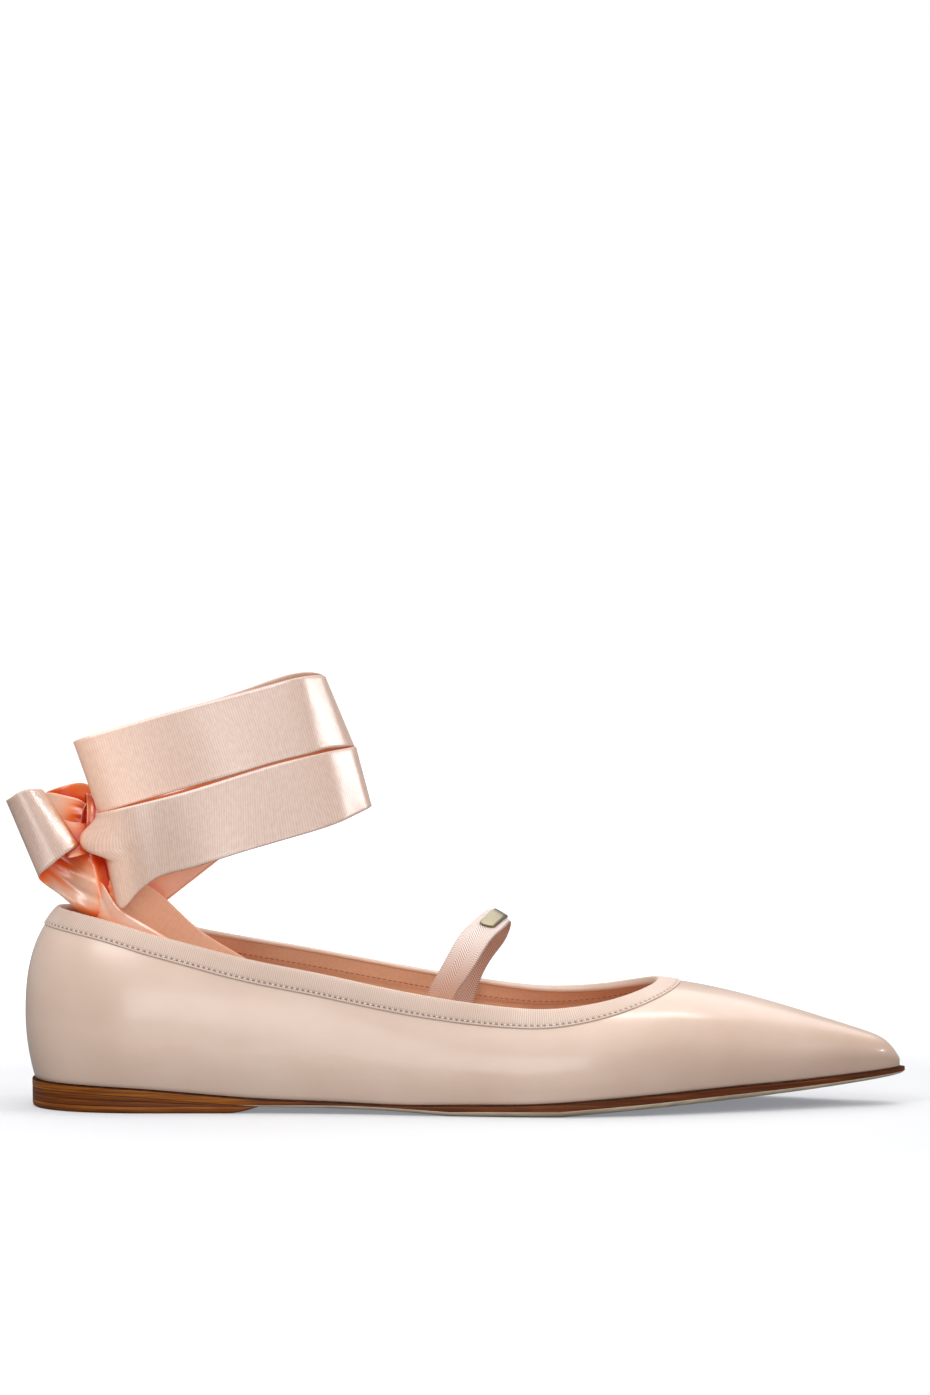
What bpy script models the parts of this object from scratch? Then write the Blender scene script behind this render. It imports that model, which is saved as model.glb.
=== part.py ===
# Right ballet flat: a pointed leather shoe with a bound topline, an instep elastic and ribbon ankle ties.
# The frame has +X towards the toe, +Y towards the medial side and +Z up.
# The origin is on the floor under the middle of the heel's flat.

import math
from collections import namedtuple

import bmesh
import bpy
import numpy as np

MM = 0.001

# Driving dimensions, in millimetres. A station is a distance from the back of the outsole.
HEEL_TO_ORIGIN = 31.0
SOLE_TIP = 262.0
THROAT = 188.0
FAN_AXIS = 36.0
WALL = 1.6
FEATHER_INSET = 0.7
PIECE_GAP = 0.3
BINDING_WIDTH = 6.4
BINDING_THICKNESS = 0.5
RIBBON_THICKNESS = 0.5
STRAP_THICKNESS = 1.0
TOP_PIECE_THICKNESS = 2.05
INSOLE_THICKNESS = 2.0

# The sole's outline: half its width, where its middle lies, and the height of its upper and lower faces.
# A lower face below zero is pressed flat on the floor.
Sole = namedtuple("Sole", "station half_width axis top bottom")
SOLE = [
    Sole(0.0, 26.3, 0.0, 8.3, 5.95),
    Sole(36.0, 26.6, 0.0, 6.9, 4.55),
    Sole(60.0, 25.9, -0.7, 4.9, 2.55),
    Sole(75.0, 25.6, -1.8, 4.1, 2.0),
    Sole(92.0, 25.9, -3.0, 3.6, 1.75),
    Sole(110.0, 27.7, -3.9, 3.0, 1.1),
    Sole(130.0, 31.2, -4.0, 3.4, -0.3),
    Sole(150.0, 34.9, -2.9, 3.8, -0.5),
    Sole(166.0, 36.1, -1.4, 4.8, 0.7),
    Sole(182.0, 34.4, 0.0, 5.9, 1.9),
    Sole(198.0, 30.2, 0.9, 7.0, 3.1),
    Sole(214.0, 24.5, 1.4, 8.0, 4.3),
    Sole(230.0, 17.9, 1.7, 8.8, 5.6),
    Sole(246.0, 10.7, 1.9, 9.9, 7.2),
    Sole(262.0, 5.2, 1.9, 11.3, 9.3),
]

# The last above the sole: the bulge past the sole's edge and its height above it, the height of the
# crown that both sides would meet at, where the crown lies across, and the roundness of the section.
Last = namedtuple("Last", "station bulge rise crown crown_axis power")
LAST = [
    Last(36.0, 2.6, 15.0, 66.5, 0.0, 2.35),
    Last(60.0, 2.4, 14.5, 67.0, 0.0, 2.3),
    Last(90.0, 2.2, 14.0, 65.0, 0.2, 2.3),
    Last(120.0, 2.0, 12.5, 55.0, 1.2, 2.25),
    Last(148.0, 1.8, 12.0, 44.5, 2.0, 2.2),
    Last(170.0, 1.8, 11.0, 38.9, 2.2, 2.2),
    Last(188.0, 1.7, 9.5, 37.5, 2.2, 2.2),
    Last(205.0, 1.4, 8.0, 34.9, 2.2, 2.15),
    Last(221.0, 1.1, 6.6, 30.9, 2.1, 2.1),
    Last(236.0, 0.8, 5.2, 26.4, 2.0, 2.1),
    Last(251.0, 0.5, 4.0, 21.6, 1.9, 2.1),
    Last(262.0, 0.3, 3.2, 17.8, 1.9, 2.1),
]

# The back of the heel, in the plane of symmetry: reach behind the fan axis and height.
BACK_FEATHER_REACH = 35.2
BACK_WIDEST_REACH = 38.0
BACK_WIDEST_HEIGHT = 28.0
BACK_CROWN_HEIGHT = 69.0
BACK_POWER = 2.45
BACK_TOPLINE_HEIGHT = 59.4
FAN_POWER = 2.25

# The height of the topline's edge, before the throat closes it.
Topline = namedtuple("Topline", "station lateral medial")
TOPLINE = [
    Topline(36.0, 52.8, 53.9),
    Topline(50.0, 49.2, 50.6),
    Topline(64.0, 45.6, 48.0),
    Topline(85.0, 41.4, 44.3),
    Topline(105.0, 37.2, 40.4),
    Topline(125.0, 33.7, 36.6),
    Topline(145.0, 31.4, 33.4),
    Topline(165.0, 30.4, 31.6),
    Topline(188.0, 30.0, 31.0),
]
THROAT_START = 146.0
THROAT_POWER = 2.5

# Rounding of the toe, in plan and from the side.
TOE_ROUND_START = 246.0
NOSE_START = 247.0
NOSE_POWER = 5.2
NOSE_DROP = 0.86

LATERAL = -1.0
MEDIAL = 1.0


def natural_spline(xs, ys):
    """A smooth curve through a table's rows, with straight ends, as a function of one number."""
    xs = np.array(xs)
    ys = np.array(ys)
    steps = np.diff(xs)
    slopes = np.diff(ys) / steps
    count = len(xs)
    matrix = np.eye(count)
    right = np.zeros(count)
    for i in range(1, count - 1):
        matrix[i, i - 1:i + 2] = (steps[i - 1], 2.0 * (steps[i - 1] + steps[i]), steps[i])
        right[i] = 6.0 * (slopes[i] - slopes[i - 1])
    bend = np.linalg.solve(matrix, right)

    def value(x):
        x = min(max(x, xs[0]), xs[-1])
        i = min(int(np.searchsorted(xs, x, side="right")) - 1, count - 2)
        step = steps[i]
        far = (xs[i + 1] - x) / step
        near = (x - xs[i]) / step
        curve = (far ** 3 - far) * bend[i] + (near ** 3 - near) * bend[i + 1]
        return float(far * ys[i] + near * ys[i + 1] + curve * step * step / 6.0)

    return value


def column_of(table, name):
    """The smooth curve of one named column of a table."""
    return natural_spline([row.station for row in table], [getattr(row, name) for row in table])


sole_half_width = column_of(SOLE, "half_width")
sole_axis = column_of(SOLE, "axis")
sole_top = column_of(SOLE, "top")
sole_bottom_raw = column_of(SOLE, "bottom")
last_bulge = column_of(LAST, "bulge")
last_rise = column_of(LAST, "rise")
last_crown = column_of(LAST, "crown")
last_crown_axis = column_of(LAST, "crown_axis")
last_power = column_of(LAST, "power")
topline_lateral = column_of(TOPLINE, "lateral")
topline_medial = column_of(TOPLINE, "medial")


def sole_bottom(station):
    """The outsole's lower face, pressed flat where it rests on the floor."""
    return max(0.0, sole_bottom_raw(station))


def around(back, side, angle):
    """Distance from the fan axis to a rounded heel outline, for an angle that is zero straight back."""
    across = (abs(math.cos(angle)) / back) ** FAN_POWER + (abs(math.sin(angle)) / side) ** FAN_POWER
    return across ** (-1.0 / FAN_POWER)


def outline_half_width(station, inset):
    """Half the sole's width at a station ahead of the fan, moved in by an inset and rounded at the toe."""
    tip = SOLE_TIP - 2.2 * inset
    start = TOE_ROUND_START - 2.2 * inset
    taper = 1.0
    if station > start:
        taper = math.sqrt(max(0.0, 1.0 - ((station - start) / (tip - start)) ** 4))
    return max(0.0, sole_half_width(station) - 1.08 * inset) * taper


def outline_stations(fan, straight, tip):
    """Angle and station of each column from the back of the heel to the tip, closer together at the tip."""
    rows = [(0.5 * math.pi * k / fan, FAN_AXIS) for k in range(fan)]
    for k in range(straight + 1):
        share = 1.0 - (1.0 - k / straight) ** 1.8
        rows.append((0.5 * math.pi, FAN_AXIS + (tip - FAN_AXIS) * share))
    return rows


def outline_point(angle, station, inset, side):
    """Station and place across of an outline point."""
    if angle < 0.5 * math.pi:
        reach = around(FAN_AXIS - inset, outline_half_width(FAN_AXIS, inset), angle)
        return FAN_AXIS - reach * math.cos(angle), side * reach * math.sin(angle)
    return station, sole_axis(station) + side * outline_half_width(station, inset)


Section = namedtuple("Section", "angle station feather_r feather_z widest_r widest_z crown_z axis crown_axis power")


def last_section(angle, station):
    """The last's half section at a station, or at an angle of the heel's fan."""
    nose = 1.0
    if station > NOSE_START:
        nose = 1.0 - NOSE_DROP * ((station - NOSE_START) / (SOLE_TIP - 1.0 - NOSE_START)) ** NOSE_POWER
    feather_r = outline_half_width(station, FEATHER_INSET)
    feather_z = sole_top(station) + PIECE_GAP
    widest_r = feather_r + last_bulge(station) * min(1.0, feather_r / 6.0)
    widest_z = feather_z + last_rise(station) * nose
    crown_z = feather_z + (last_crown(station) - feather_z) * nose
    power = last_power(station)
    if angle < 0.5 * math.pi:
        feather_r = around(BACK_FEATHER_REACH, feather_r, angle)
        widest_r = around(BACK_WIDEST_REACH, widest_r, angle)
        turn = math.cos(angle) ** 2
        feather_z = sole_top(FAN_AXIS - feather_r * math.cos(angle)) + PIECE_GAP
        widest_z += (BACK_WIDEST_HEIGHT - widest_z) * turn
        crown_z += (BACK_CROWN_HEIGHT - crown_z) * turn
        power += (BACK_POWER - power) * turn
    axis = sole_axis(station)
    return Section(angle, station, feather_r, feather_z, widest_r, widest_z, crown_z, axis,
                   last_crown_axis(station), power)


def section_radius(section, z):
    """Half width of the section at a height."""
    if z <= section.widest_z:
        depth = (section.widest_z - z) / (section.widest_z - section.feather_z)
        return section.widest_r - (section.widest_r - section.feather_r) * depth ** 2
    rise = min(1.0, (z - section.widest_z) / (section.crown_z - section.widest_z))
    return section.widest_r * (1.0 - rise ** section.power) ** (1.0 / section.power)


def section_height(section, radius):
    """Height of the section's upper part at a half width."""
    share = (1.0 - min(1.0, radius / section.widest_r) ** section.power) ** (1.0 / section.power)
    return section.widest_z + (section.crown_z - section.widest_z) * share


def section_place(section, side, radius, z):
    """World position in millimetres of a point of the section. The axis leans towards the crown."""
    lean = (z - section.feather_z) / (section.crown_z - section.feather_z)
    axis = section.axis + (section.crown_axis - section.axis) * lean
    station = section.station - radius * math.cos(section.angle)
    return np.array((station - HEEL_TO_ORIGIN, axis + side * radius * math.sin(section.angle), z))


def topline_height(section, side):
    """Height of the upper's edge: the topline behind the throat, the crown ahead of it."""
    if section.station >= THROAT:
        return section.crown_z
    side_height = topline_lateral if side < 0.0 else topline_medial
    height = side_height(section.station)
    if section.angle < 0.5 * math.pi:
        return height + (BACK_TOPLINE_HEIGHT - height) * math.cos(section.angle)
    if section.station <= THROAT_START:
        return height
    closing = (section.station - THROAT_START) / (THROAT - THROAT_START)
    opening = (1.0 - closing ** THROAT_POWER) ** (1.0 / THROAT_POWER)
    return section_height(section, section_radius(section, height) * opening)


def section_path(section, side, rows_below, rows_above):
    """Points of the section from the feather edge up to the topline or the crown."""
    points = []
    for k in range(rows_below):
        z = section.feather_z + (section.widest_z - section.feather_z) * k / rows_below
        points.append(section_place(section, side, section_radius(section, z), z))
    rise = (topline_height(section, side) - section.widest_z) / (section.crown_z - section.widest_z)
    sweep = math.asin(min(1.0, rise) ** (0.5 * section.power))
    exponent = 2.0 / section.power
    for k in range(rows_above + 1):
        turn = sweep * k / rows_above
        radius = section.widest_r * abs(math.cos(turn)) ** exponent
        if k == rows_above and section.station >= THROAT:
            radius = 0.0
        z = section.widest_z + (section.crown_z - section.widest_z) * math.sin(turn) ** exponent
        points.append(section_place(section, side, radius, z))
    return points


def upper_columns(fan, quarter, vamp):
    """Angle and station of the upper's columns, closer together at the throat's end and at the tip."""
    rows = [(0.5 * math.pi * k / fan, FAN_AXIS) for k in range(fan)]
    for k in range(quarter):
        share = 1.0 - (1.0 - k / quarter) ** 1.8
        rows.append((0.5 * math.pi, FAN_AXIS + (THROAT - FAN_AXIS) * share))
    tip = SOLE_TIP - 2.2 * FEATHER_INSET
    for k in range(vamp + 1):
        share = 1.0 - (1.0 - k / vamp) ** 1.6
        rows.append((0.5 * math.pi, THROAT + (tip - THROAT) * share))
    return rows


def section_at(point):
    """The section through a world point in millimetres, with its side and its half width there."""
    station = point[0] + HEEL_TO_ORIGIN
    if station < FAN_AXIS:
        angle = math.atan2(abs(point[1]), FAN_AXIS - station)
        section = last_section(angle, FAN_AXIS)
        return section, math.hypot(point[1], FAN_AXIS - station)
    section = last_section(0.5 * math.pi, station)
    lean = (point[2] - section.feather_z) / (section.crown_z - section.feather_z)
    axis = section.axis + (section.crown_axis - section.axis) * lean
    return section, abs(point[1] - axis)


def last_level(point):
    """One on the last's surface, less inside it and more outside."""
    section, radius = section_at(point)
    if point[2] <= section.widest_z:
        return radius / section_radius(section, point[2])
    rise = (point[2] - section.widest_z) / (section.crown_z - section.widest_z)
    return ((radius / section.widest_r) ** section.power + rise ** section.power) ** (1.0 / section.power)


def last_gradient(point):
    """Direction out of the last's surface, with the rate at which the level grows."""
    step = 0.02
    shifts = np.eye(3) * step
    return np.array([(last_level(point + s) - last_level(point - s)) / (2.0 * step) for s in shifts])


def onto_last(point, offset=0.0):
    """The nearest point of the last's surface, moved out by an offset."""
    point = np.array(point, dtype=float)
    for _ in range(4):
        slope = last_gradient(point)
        point = point - (last_level(point) - 1.0) * slope / slope.dot(slope)
    slope = last_gradient(point)
    return point + offset * slope / np.linalg.norm(slope)


def principled(name, colour, roughness, metallic=0.0):
    """A plain material with the part's colour, roughness and metallic value."""
    material = bpy.data.materials.new(name)
    material.use_nodes = True
    shader = material.node_tree.nodes["Principled BSDF"]
    shader.inputs["Base Color"].default_value = (*colour, 1.0)
    shader.inputs["Roughness"].default_value = roughness
    shader.inputs["Metallic"].default_value = metallic
    return material


def make_object(name, points, faces, material):
    """A smooth-shaded mesh object from points in millimetres, with doubled points merged."""
    mesh = bpy.data.meshes.new(name)
    mesh.from_pydata([tuple(p * MM for p in point) for point in points], [], faces)
    work = bmesh.new()
    work.from_mesh(mesh)
    bmesh.ops.remove_doubles(work, verts=work.verts, dist=0.002 * MM)
    bmesh.ops.dissolve_degenerate(work, edges=work.edges, dist=0.002 * MM)
    work.to_mesh(mesh)
    work.free()
    mesh.shade_smooth()
    mesh.materials.append(material)
    piece = bpy.data.objects.new(name, mesh)
    shoe.objects.link(piece)
    return piece


def grid_faces(columns, rows, first=0, closed=False, flip=False):
    """Quads between neighbouring columns of points that each hold the same number of rows."""
    faces = []
    for i in range(columns if closed else columns - 1):
        a = first + i * rows
        b = first + (i + 1) % columns * rows
        for j in range(rows - 1):
            quad = (a + j, b + j, b + j + 1, a + j + 1)
            faces.append(quad[::-1] if flip else quad)
    return faces


def add_wall(piece, thickness, offset):
    """Thicken an open surface into a closed shell."""
    wall = piece.modifiers.new("wall", "SOLIDIFY")
    wall.thickness = thickness * MM
    wall.offset = offset
    wall.use_rim = True


def make_upper():
    """The lasted shell: both sides as one loft, joined at the heel's back, the crown and the tip."""
    rows_below, rows_above = 3, 8
    stations = upper_columns(9, 22, 16)
    points, faces = [], []
    for side in (LATERAL, MEDIAL):
        faces += grid_faces(len(stations), rows_below + rows_above + 1, len(points), flip=side > 0.0)
        for angle, station in stations:
            points += section_path(last_section(angle, station), side, rows_below, rows_above)
    leather = principled("upper_leather", (0.76, 0.57, 0.47), 0.38)
    piece = make_object("upper", points, faces, leather)
    add_wall(piece, WALL, -1.0)


def make_plate(name, tip, inset, top, bottom, bevel, material, columns=34):
    """A flat layer of the bottom: one outline, a height for each face and a bevelled lower edge."""
    stations = outline_stations(8, columns, tip)
    rings = [(inset, top, 0.0), (inset, bottom, bevel), (inset + 1.3 * bevel, bottom, 0.0)]
    points, faces = [], []
    for ring_inset, height, lift in rings:
        for side in (LATERAL, MEDIAL):
            for angle, station in stations:
                reach = min(station, tip - (ring_inset - inset))
                x, y = outline_point(angle, reach, ring_inset, side)
                points.append((x - HEEL_TO_ORIGIN, y, height(x) + lift))
    count = len(stations)
    for k in range(len(rings) - 1):
        for side in range(2):
            for i in range(count - 1):
                a = (2 * k + side) * count + i
                quad = (a, a + 1, a + 1 + 2 * count, a + 2 * count)
                faces.append(quad if side else quad[::-1])
    for ring, up in ((0, True), (len(rings) - 1, False)):
        for i in range(count - 1):
            a = 2 * ring * count + i
            quad = (a, a + 1, a + 1 + count, a + count)
            faces.append(quad if up else quad[::-1])
    if outline_half_width(tip, inset) > 0.0:
        last = count - 1
        for k in range(len(rings) - 1):
            a = 2 * k * count + last
            faces.append((a, a + count, a + 3 * count, a + 2 * count)[::-1])
    return make_object(name, points, faces, material)


def make_bottom():
    """The outsole, the heel's two layers and the insole."""
    sole_leather = principled("sole_leather", (0.19, 0.085, 0.035), 0.5)
    stack_leather = principled("stack_leather", (0.125, 0.042, 0.016), 0.5)
    sock_leather = principled("sock_leather", (0.62, 0.36, 0.24), 0.6)
    lift_end = 54.0
    top_piece_end = 68.0
    insole_inset = 2.9
    edge_bevel = 0.9
    make_plate("outsole", SOLE_TIP, 0.0, sole_top, sole_bottom, edge_bevel, sole_leather)
    make_plate("heel_lift", lift_end, 0.15, lambda s: sole_bottom(s) - PIECE_GAP,
               lambda s: TOP_PIECE_THICKNESS + PIECE_GAP, 0.0, stack_leather, 12)
    make_plate("top_piece", top_piece_end, 0.15,
               lambda s: min(TOP_PIECE_THICKNESS, sole_bottom(s) - PIECE_GAP),
               lambda s: 1.3 * max(0.0, (s - 60.0) / (top_piece_end - 60.0)) ** 2, 0.0, stack_leather, 14)
    make_plate("insole", SOLE_TIP - 2.2 * insole_inset, insole_inset,
               lambda s: sole_top(s) + PIECE_GAP + INSOLE_THICKNESS,
               lambda s: sole_top(s) + PIECE_GAP, 0.0, sock_leather)


# Folds of a ribbon: its upper and its lower edge at each place where its course or tilt changes,
# as a station, a distance across towards the medial side, and a height.
Fold = namedtuple("Fold", "place upper lower")

WRAP_UPPER = [
    Fold("back", (13.0, -1.0, 108.6), (20.5, -1.6, 88.2)),
    Fold("lateral corner", (13.8, -6.2, 109.3), (21.0, -9.2, 88.4)),
    Fold("lateral back", (26.9, -8.4, 113.7), (33.1, -12.8, 91.9)),
    Fold("lateral", (50.9, -9.4, 120.6), (58.6, -16.2, 99.4)),
    Fold("lateral front", (76.0, -9.0, 127.0), (82.0, -15.4, 105.9)),
    Fold("bend", (85.6, -5.6, 128.4), (92.8, -10.2, 108.3)),
    Fold("front", (88.0, -0.8, 128.0), (96.6, -2.2, 108.0)),
    Fold("medial bend", (86.2, 4.2, 129.0), (94.4, 7.0, 108.0)),
    Fold("medial front", (79.0, 8.3, 129.0), (86.0, 14.0, 107.0)),
    Fold("medial", (50.0, 9.2, 119.6), (57.5, 16.6, 98.8)),
    Fold("medial back", (26.0, 6.8, 112.8), (32.0, 11.0, 92.0)),
    Fold("medial corner", (14.6, 3.2, 109.0), (21.6, 4.4, 88.7)),
]

WRAP_LOWER = [
    Fold("lateral side of the knot", (20.5, -6.6, 83.0), (21.0, -6.6, 71.0)),
    Fold("back turn", (16.4, -10.5, 83.5), (16.8, -10.8, 70.0)),
    Fold("pulled corner", (22.0, -13.4, 87.8), (25.4, -15.2, 62.0)),
    Fold("beside the corner", (30.0, -14.4, 89.6), (32.0, -17.0, 66.5)),
    Fold("lateral rear", (42.0, -15.0, 92.6), (43.6, -18.8, 72.0)),
    Fold("lateral", (58.5, -15.2, 97.4), (58.6, -21.0, 76.0)),
    Fold("lateral front", (80.0, -13.8, 103.6), (85.6, -18.6, 84.4)),
    Fold("bend", (91.6, -8.8, 106.2), (98.6, -10.8, 88.4)),
    Fold("front", (96.0, -1.0, 106.4), (101.2, -1.0, 90.0)),
    Fold("medial bend", (93.0, 6.2, 106.2), (98.4, 8.8, 89.4)),
    Fold("medial front", (83.5, 12.0, 104.6), (86.5, 18.5, 84.6)),
    Fold("medial", (58.0, 14.6, 97.4), (58.0, 22.0, 74.8)),
    Fold("medial back", (33.0, 13.0, 90.2), (35.5, 17.5, 68.8)),
    Fold("medial side of the knot", (21.5, 6.0, 85.5), (22.3, 6.2, 76.5)),
]

RISER_LATERAL = [
    Fold("sewn end", (50.0, -19.6, 46.5), (36.0, -23.0, 28.5)),
    Fold("at the topline", (40.8, -18.6, 51.8), (25.5, -18.5, 33.5)),
    Fold("rising", (31.7, -15.5, 56.6), (17.5, -13.0, 41.5)),
    Fold("gathering", (25.5, -11.6, 60.9), (15.8, -8.5, 50.0)),
    Fold("below the knot", (20.0, -7.2, 66.6), (16.6, -5.0, 58.8)),
    Fold("behind the knot", (17.0, 0.0, 67.8), (16.4, 1.0, 60.0)),
    Fold("medial side", (20.0, 7.0, 69.0), (19.6, 7.8, 60.2)),
    Fold("spreading", (28.0, 9.2, 74.0), (37.0, 11.2, 60.2)),
    Fold("climbing", (42.0, 11.2, 85.0), (55.5, 14.0, 72.8)),
    Fold("inside the wraps", (53.5, 12.0, 92.5), (66.5, 15.0, 80.8)),
]

RISER_MEDIAL = [
    Fold("sewn end", (68.0, 21.2, 38.5), (54.0, 22.6, 19.0)),
    Fold("below the topline", (62.5, 20.0, 42.3), (48.1, 21.8, 22.7)),
    Fold("rising", (51.7, 16.5, 50.5), (36.5, 20.0, 31.0)),
    Fold("over the heel", (39.9, 11.0, 60.8), (25.5, 14.0, 42.5)),
    Fold("gathering", (33.0, 6.0, 65.8), (22.0, 7.0, 52.0)),
    Fold("below the knot", (26.6, 0.0, 67.6), (21.6, 1.0, 59.8)),
    Fold("lateral turn", (23.6, -5.2, 67.4), (22.8, -4.6, 59.4)),
    Fold("crossing", (23.8, -8.8, 67.6), (26.6, -8.6, 60.0)),
    Fold("spreading", (25.6, -10.8, 74.0), (33.0, -12.2, 65.2)),
    Fold("inside the wrap", (33.0, -10.8, 82.0), (43.5, -13.2, 75.5)),
]

BOW_LOOP_LATERAL = [
    Fold("from the knot", (15.2, -4.8, 87.0), (15.2, -6.0, 78.5)),
    Fold("behind the bend", (6.2, -8.0, 90.0), (10.8, -11.8, 76.4)),
    Fold("bend", (1.6, -13.2, 95.4), (13.4, -17.2, 78.0)),
    Fold("outer face", (-3.2, -14.2, 94.0), (7.6, -18.2, 74.2)),
    Fold("back fold", (-6.5, -11.6, 91.9), (3.2, -15.0, 69.6)),
    Fold("under face", (0.0, -5.2, 87.0), (8.8, -8.8, 64.0)),
    Fold("to the knot", (12.4, -4.6, 76.5), (18.0, -10.6, 58.8)),
]

BOW_LOOP_MEDIAL = [
    Fold("from the knot", (15.0, 1.2, 89.0), (14.8, 2.0, 80.4)),
    Fold("near face", (9.4, 3.4, 92.4), (9.6, 4.6, 79.4)),
    Fold("back fold", (3.6, 10.8, 93.0), (5.4, 12.6, 76.0)),
    Fold("far face", (9.8, 14.4, 94.8), (12.0, 15.6, 74.6)),
    Fold("past the top", (15.4, 11.4, 93.0), (16.4, 12.0, 75.8)),
    Fold("to the knot", (18.5, 7.8, 86.5), (18.6, 8.2, 76.5)),
]

BOW_END = [
    Fold("from the knot", (18.6, 5.6, 75.0), (14.8, 4.4, 71.4)),
    Fold("over the collar", (20.5, 12.5, 68.0), (11.0, 10.0, 65.4)),
    Fold("past the collar", (20.8, 22.0, 61.5), (8.0, 17.5, 58.8)),
    Fold("falling", (21.4, 26.6, 50.0), (4.6, 18.6, 45.5)),
    Fold("cut end", (22.0, 29.6, 37.5), (3.4, 20.4, 34.0)),
]

# The knot's middle and its half sizes along the shoe, across it and up.
KNOT_CENTRE = (20.4, -0.5, 77.5)
KNOT_HALF = (4.3, 4.8, 8.6)

# The instep elastic: at each place along it its back and front edge as stations, where it lies across, and the
# height of both edges. It leans forward over the instep.
Arch = namedtuple("Arch", "place back front across back_height front_height")
STRAP = [
    Arch("lateral end", 118.4, 125.6, -27.8, 25.0, 24.5),
    Arch("lateral topline", 119.4, 127.0, -25.1, 35.3, 34.5),
    Arch("lateral rise", 121.9, 129.8, -23.6, 40.8, 39.6),
    Arch("lateral slope", 125.4, 133.5, -20.2, 47.0, 45.4),
    Arch("lateral shoulder", 129.4, 137.5, -13.5, 52.8, 50.9),
    Arch("before the top", 133.6, 141.0, -7.0, 56.2, 53.6),
    Arch("top", 136.8, 143.0, -0.5, 58.3, 55.0),
    Arch("after the top", 137.2, 143.2, 5.5, 57.3, 53.4),
    Arch("medial slope", 134.2, 141.2, 13.5, 50.5, 47.8),
    Arch("medial rise", 130.0, 137.4, 20.2, 43.2, 42.0),
    Arch("medial topline", 127.0, 134.2, 23.8, 36.0, 35.4),
    Arch("medial end", 124.4, 131.0, 26.2, 26.0, 25.0),
]
# The bar lies on the elastic, its middle a little to the lateral side.
BAR_ACROSS = -4.0
BAR_LENGTH = 14.0
BAR_WIDTH = 4.8
BAR_THICKNESS = 0.8


def resample(points, count, closed=False):
    """Evenly spaced points along a fine polyline."""
    points = np.array(points)
    if closed:
        points = np.vstack([points, points[:1]])
    lengths = np.concatenate([[0.0], np.cumsum(np.linalg.norm(np.diff(points, axis=0), axis=1))])
    places = np.linspace(0.0, lengths[-1], count + 1)[:-1] if closed else np.linspace(0.0, lengths[-1], count)
    return np.array([[np.interp(place, lengths, points[:, k]) for k in range(3)] for place in places])


def topline_round(count):
    """The upper's edge once round the opening: throat, lateral side, heel, medial side."""
    fan, quarter = 24, 90
    edges = {}
    for side in (LATERAL, MEDIAL):
        edges[side] = []
        for angle, station in upper_columns(fan, quarter, 1)[:fan + quarter + 1]:
            section = last_section(angle, station)
            edges[side].append(section_path(section, side, 1, 1)[-1])
    return resample(edges[LATERAL][::-1] + edges[MEDIAL][1:-1], count, closed=True)


def make_binding():
    """The folded tape: a U-shaped section carried round the topline, clear of the wall."""
    count = 84
    inner = -(WALL + PIECE_GAP)
    outer = PIECE_GAP
    thick = BINDING_THICKNESS
    leg = BINDING_WIDTH
    edge = -PIECE_GAP
    profile = [(leg, outer + thick), (0.45 * leg, outer + thick), (0.0, outer + thick), (edge - thick, 0.0),
               (edge - thick, -WALL), (0.0, inner - thick), (0.45 * leg, inner - thick), (leg, inner - thick),
               (leg, inner), (0.45 * leg, inner), (edge, inner), (edge, outer), (0.45 * leg, outer), (leg, outer)]
    ring = [onto_last(point) for point in topline_round(count)]
    points = []
    for i, here in enumerate(ring):
        along = ring[(i + 1) % count] - ring[i - 1]
        normal = last_gradient(here)
        normal /= np.linalg.norm(normal)
        down = np.cross(normal, along)
        down /= np.linalg.norm(down)
        for depth, offset in profile:
            if depth > 0.0:
                points.append(onto_last(here + down * depth, offset))
            else:
                points.append(here + down * depth + normal * offset)
    size = len(profile)
    faces = []
    for i in range(count):
        a = i * size
        b = (i + 1) % count * size
        for j in range(size):
            k = (j + 1) % size
            faces.append((a + j, a + k, b + k, b + j))
    make_object("topline_binding", points, faces, principled("binding_tape", (0.72, 0.53, 0.44), 0.6))


def ribbon_edges(folds, steps, closed=False):
    """Points along a ribbon's upper and lower edge, smooth through its folds."""
    rows = [(*fold.upper, *fold.lower) for fold in folds]
    first, last = 0, len(rows) - 1
    if closed:
        margin = 3
        rows = rows[-margin:] + rows + rows[:margin]
        first, last = margin, margin + len(folds)
    rows = np.array(rows)
    middle = 0.5 * (rows[:, :3] + rows[:, 3:])
    places = np.concatenate([[0.0], np.cumsum(np.linalg.norm(np.diff(middle, axis=0), axis=1))])
    curves = [natural_spline(places, rows[:, k]) for k in range(6)]
    share = np.linspace(places[first], places[last], steps + 1)
    if closed:
        share = share[:-1]
    points = np.array([[curve(place) for curve in curves] for place in share])
    points[:, 0] -= HEEL_TO_ORIGIN
    points[:, 3] -= HEEL_TO_ORIGIN
    return points


def make_ribbon(name, folds, steps, material, thickness=RIBBON_THICKNESS, closed=False):
    """A flat ribbon through its folds: an open strip thickened to both sides."""
    across = 2
    points = []
    edges = ribbon_edges(folds, steps, closed)
    for row in edges:
        for k in range(across + 1):
            points.append(row[:3] + (row[3:] - row[:3]) * k / across)
    piece = make_object(name, points, grid_faces(len(edges), across + 1, closed=closed), material)
    add_wall(piece, thickness, 0.0)


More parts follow.
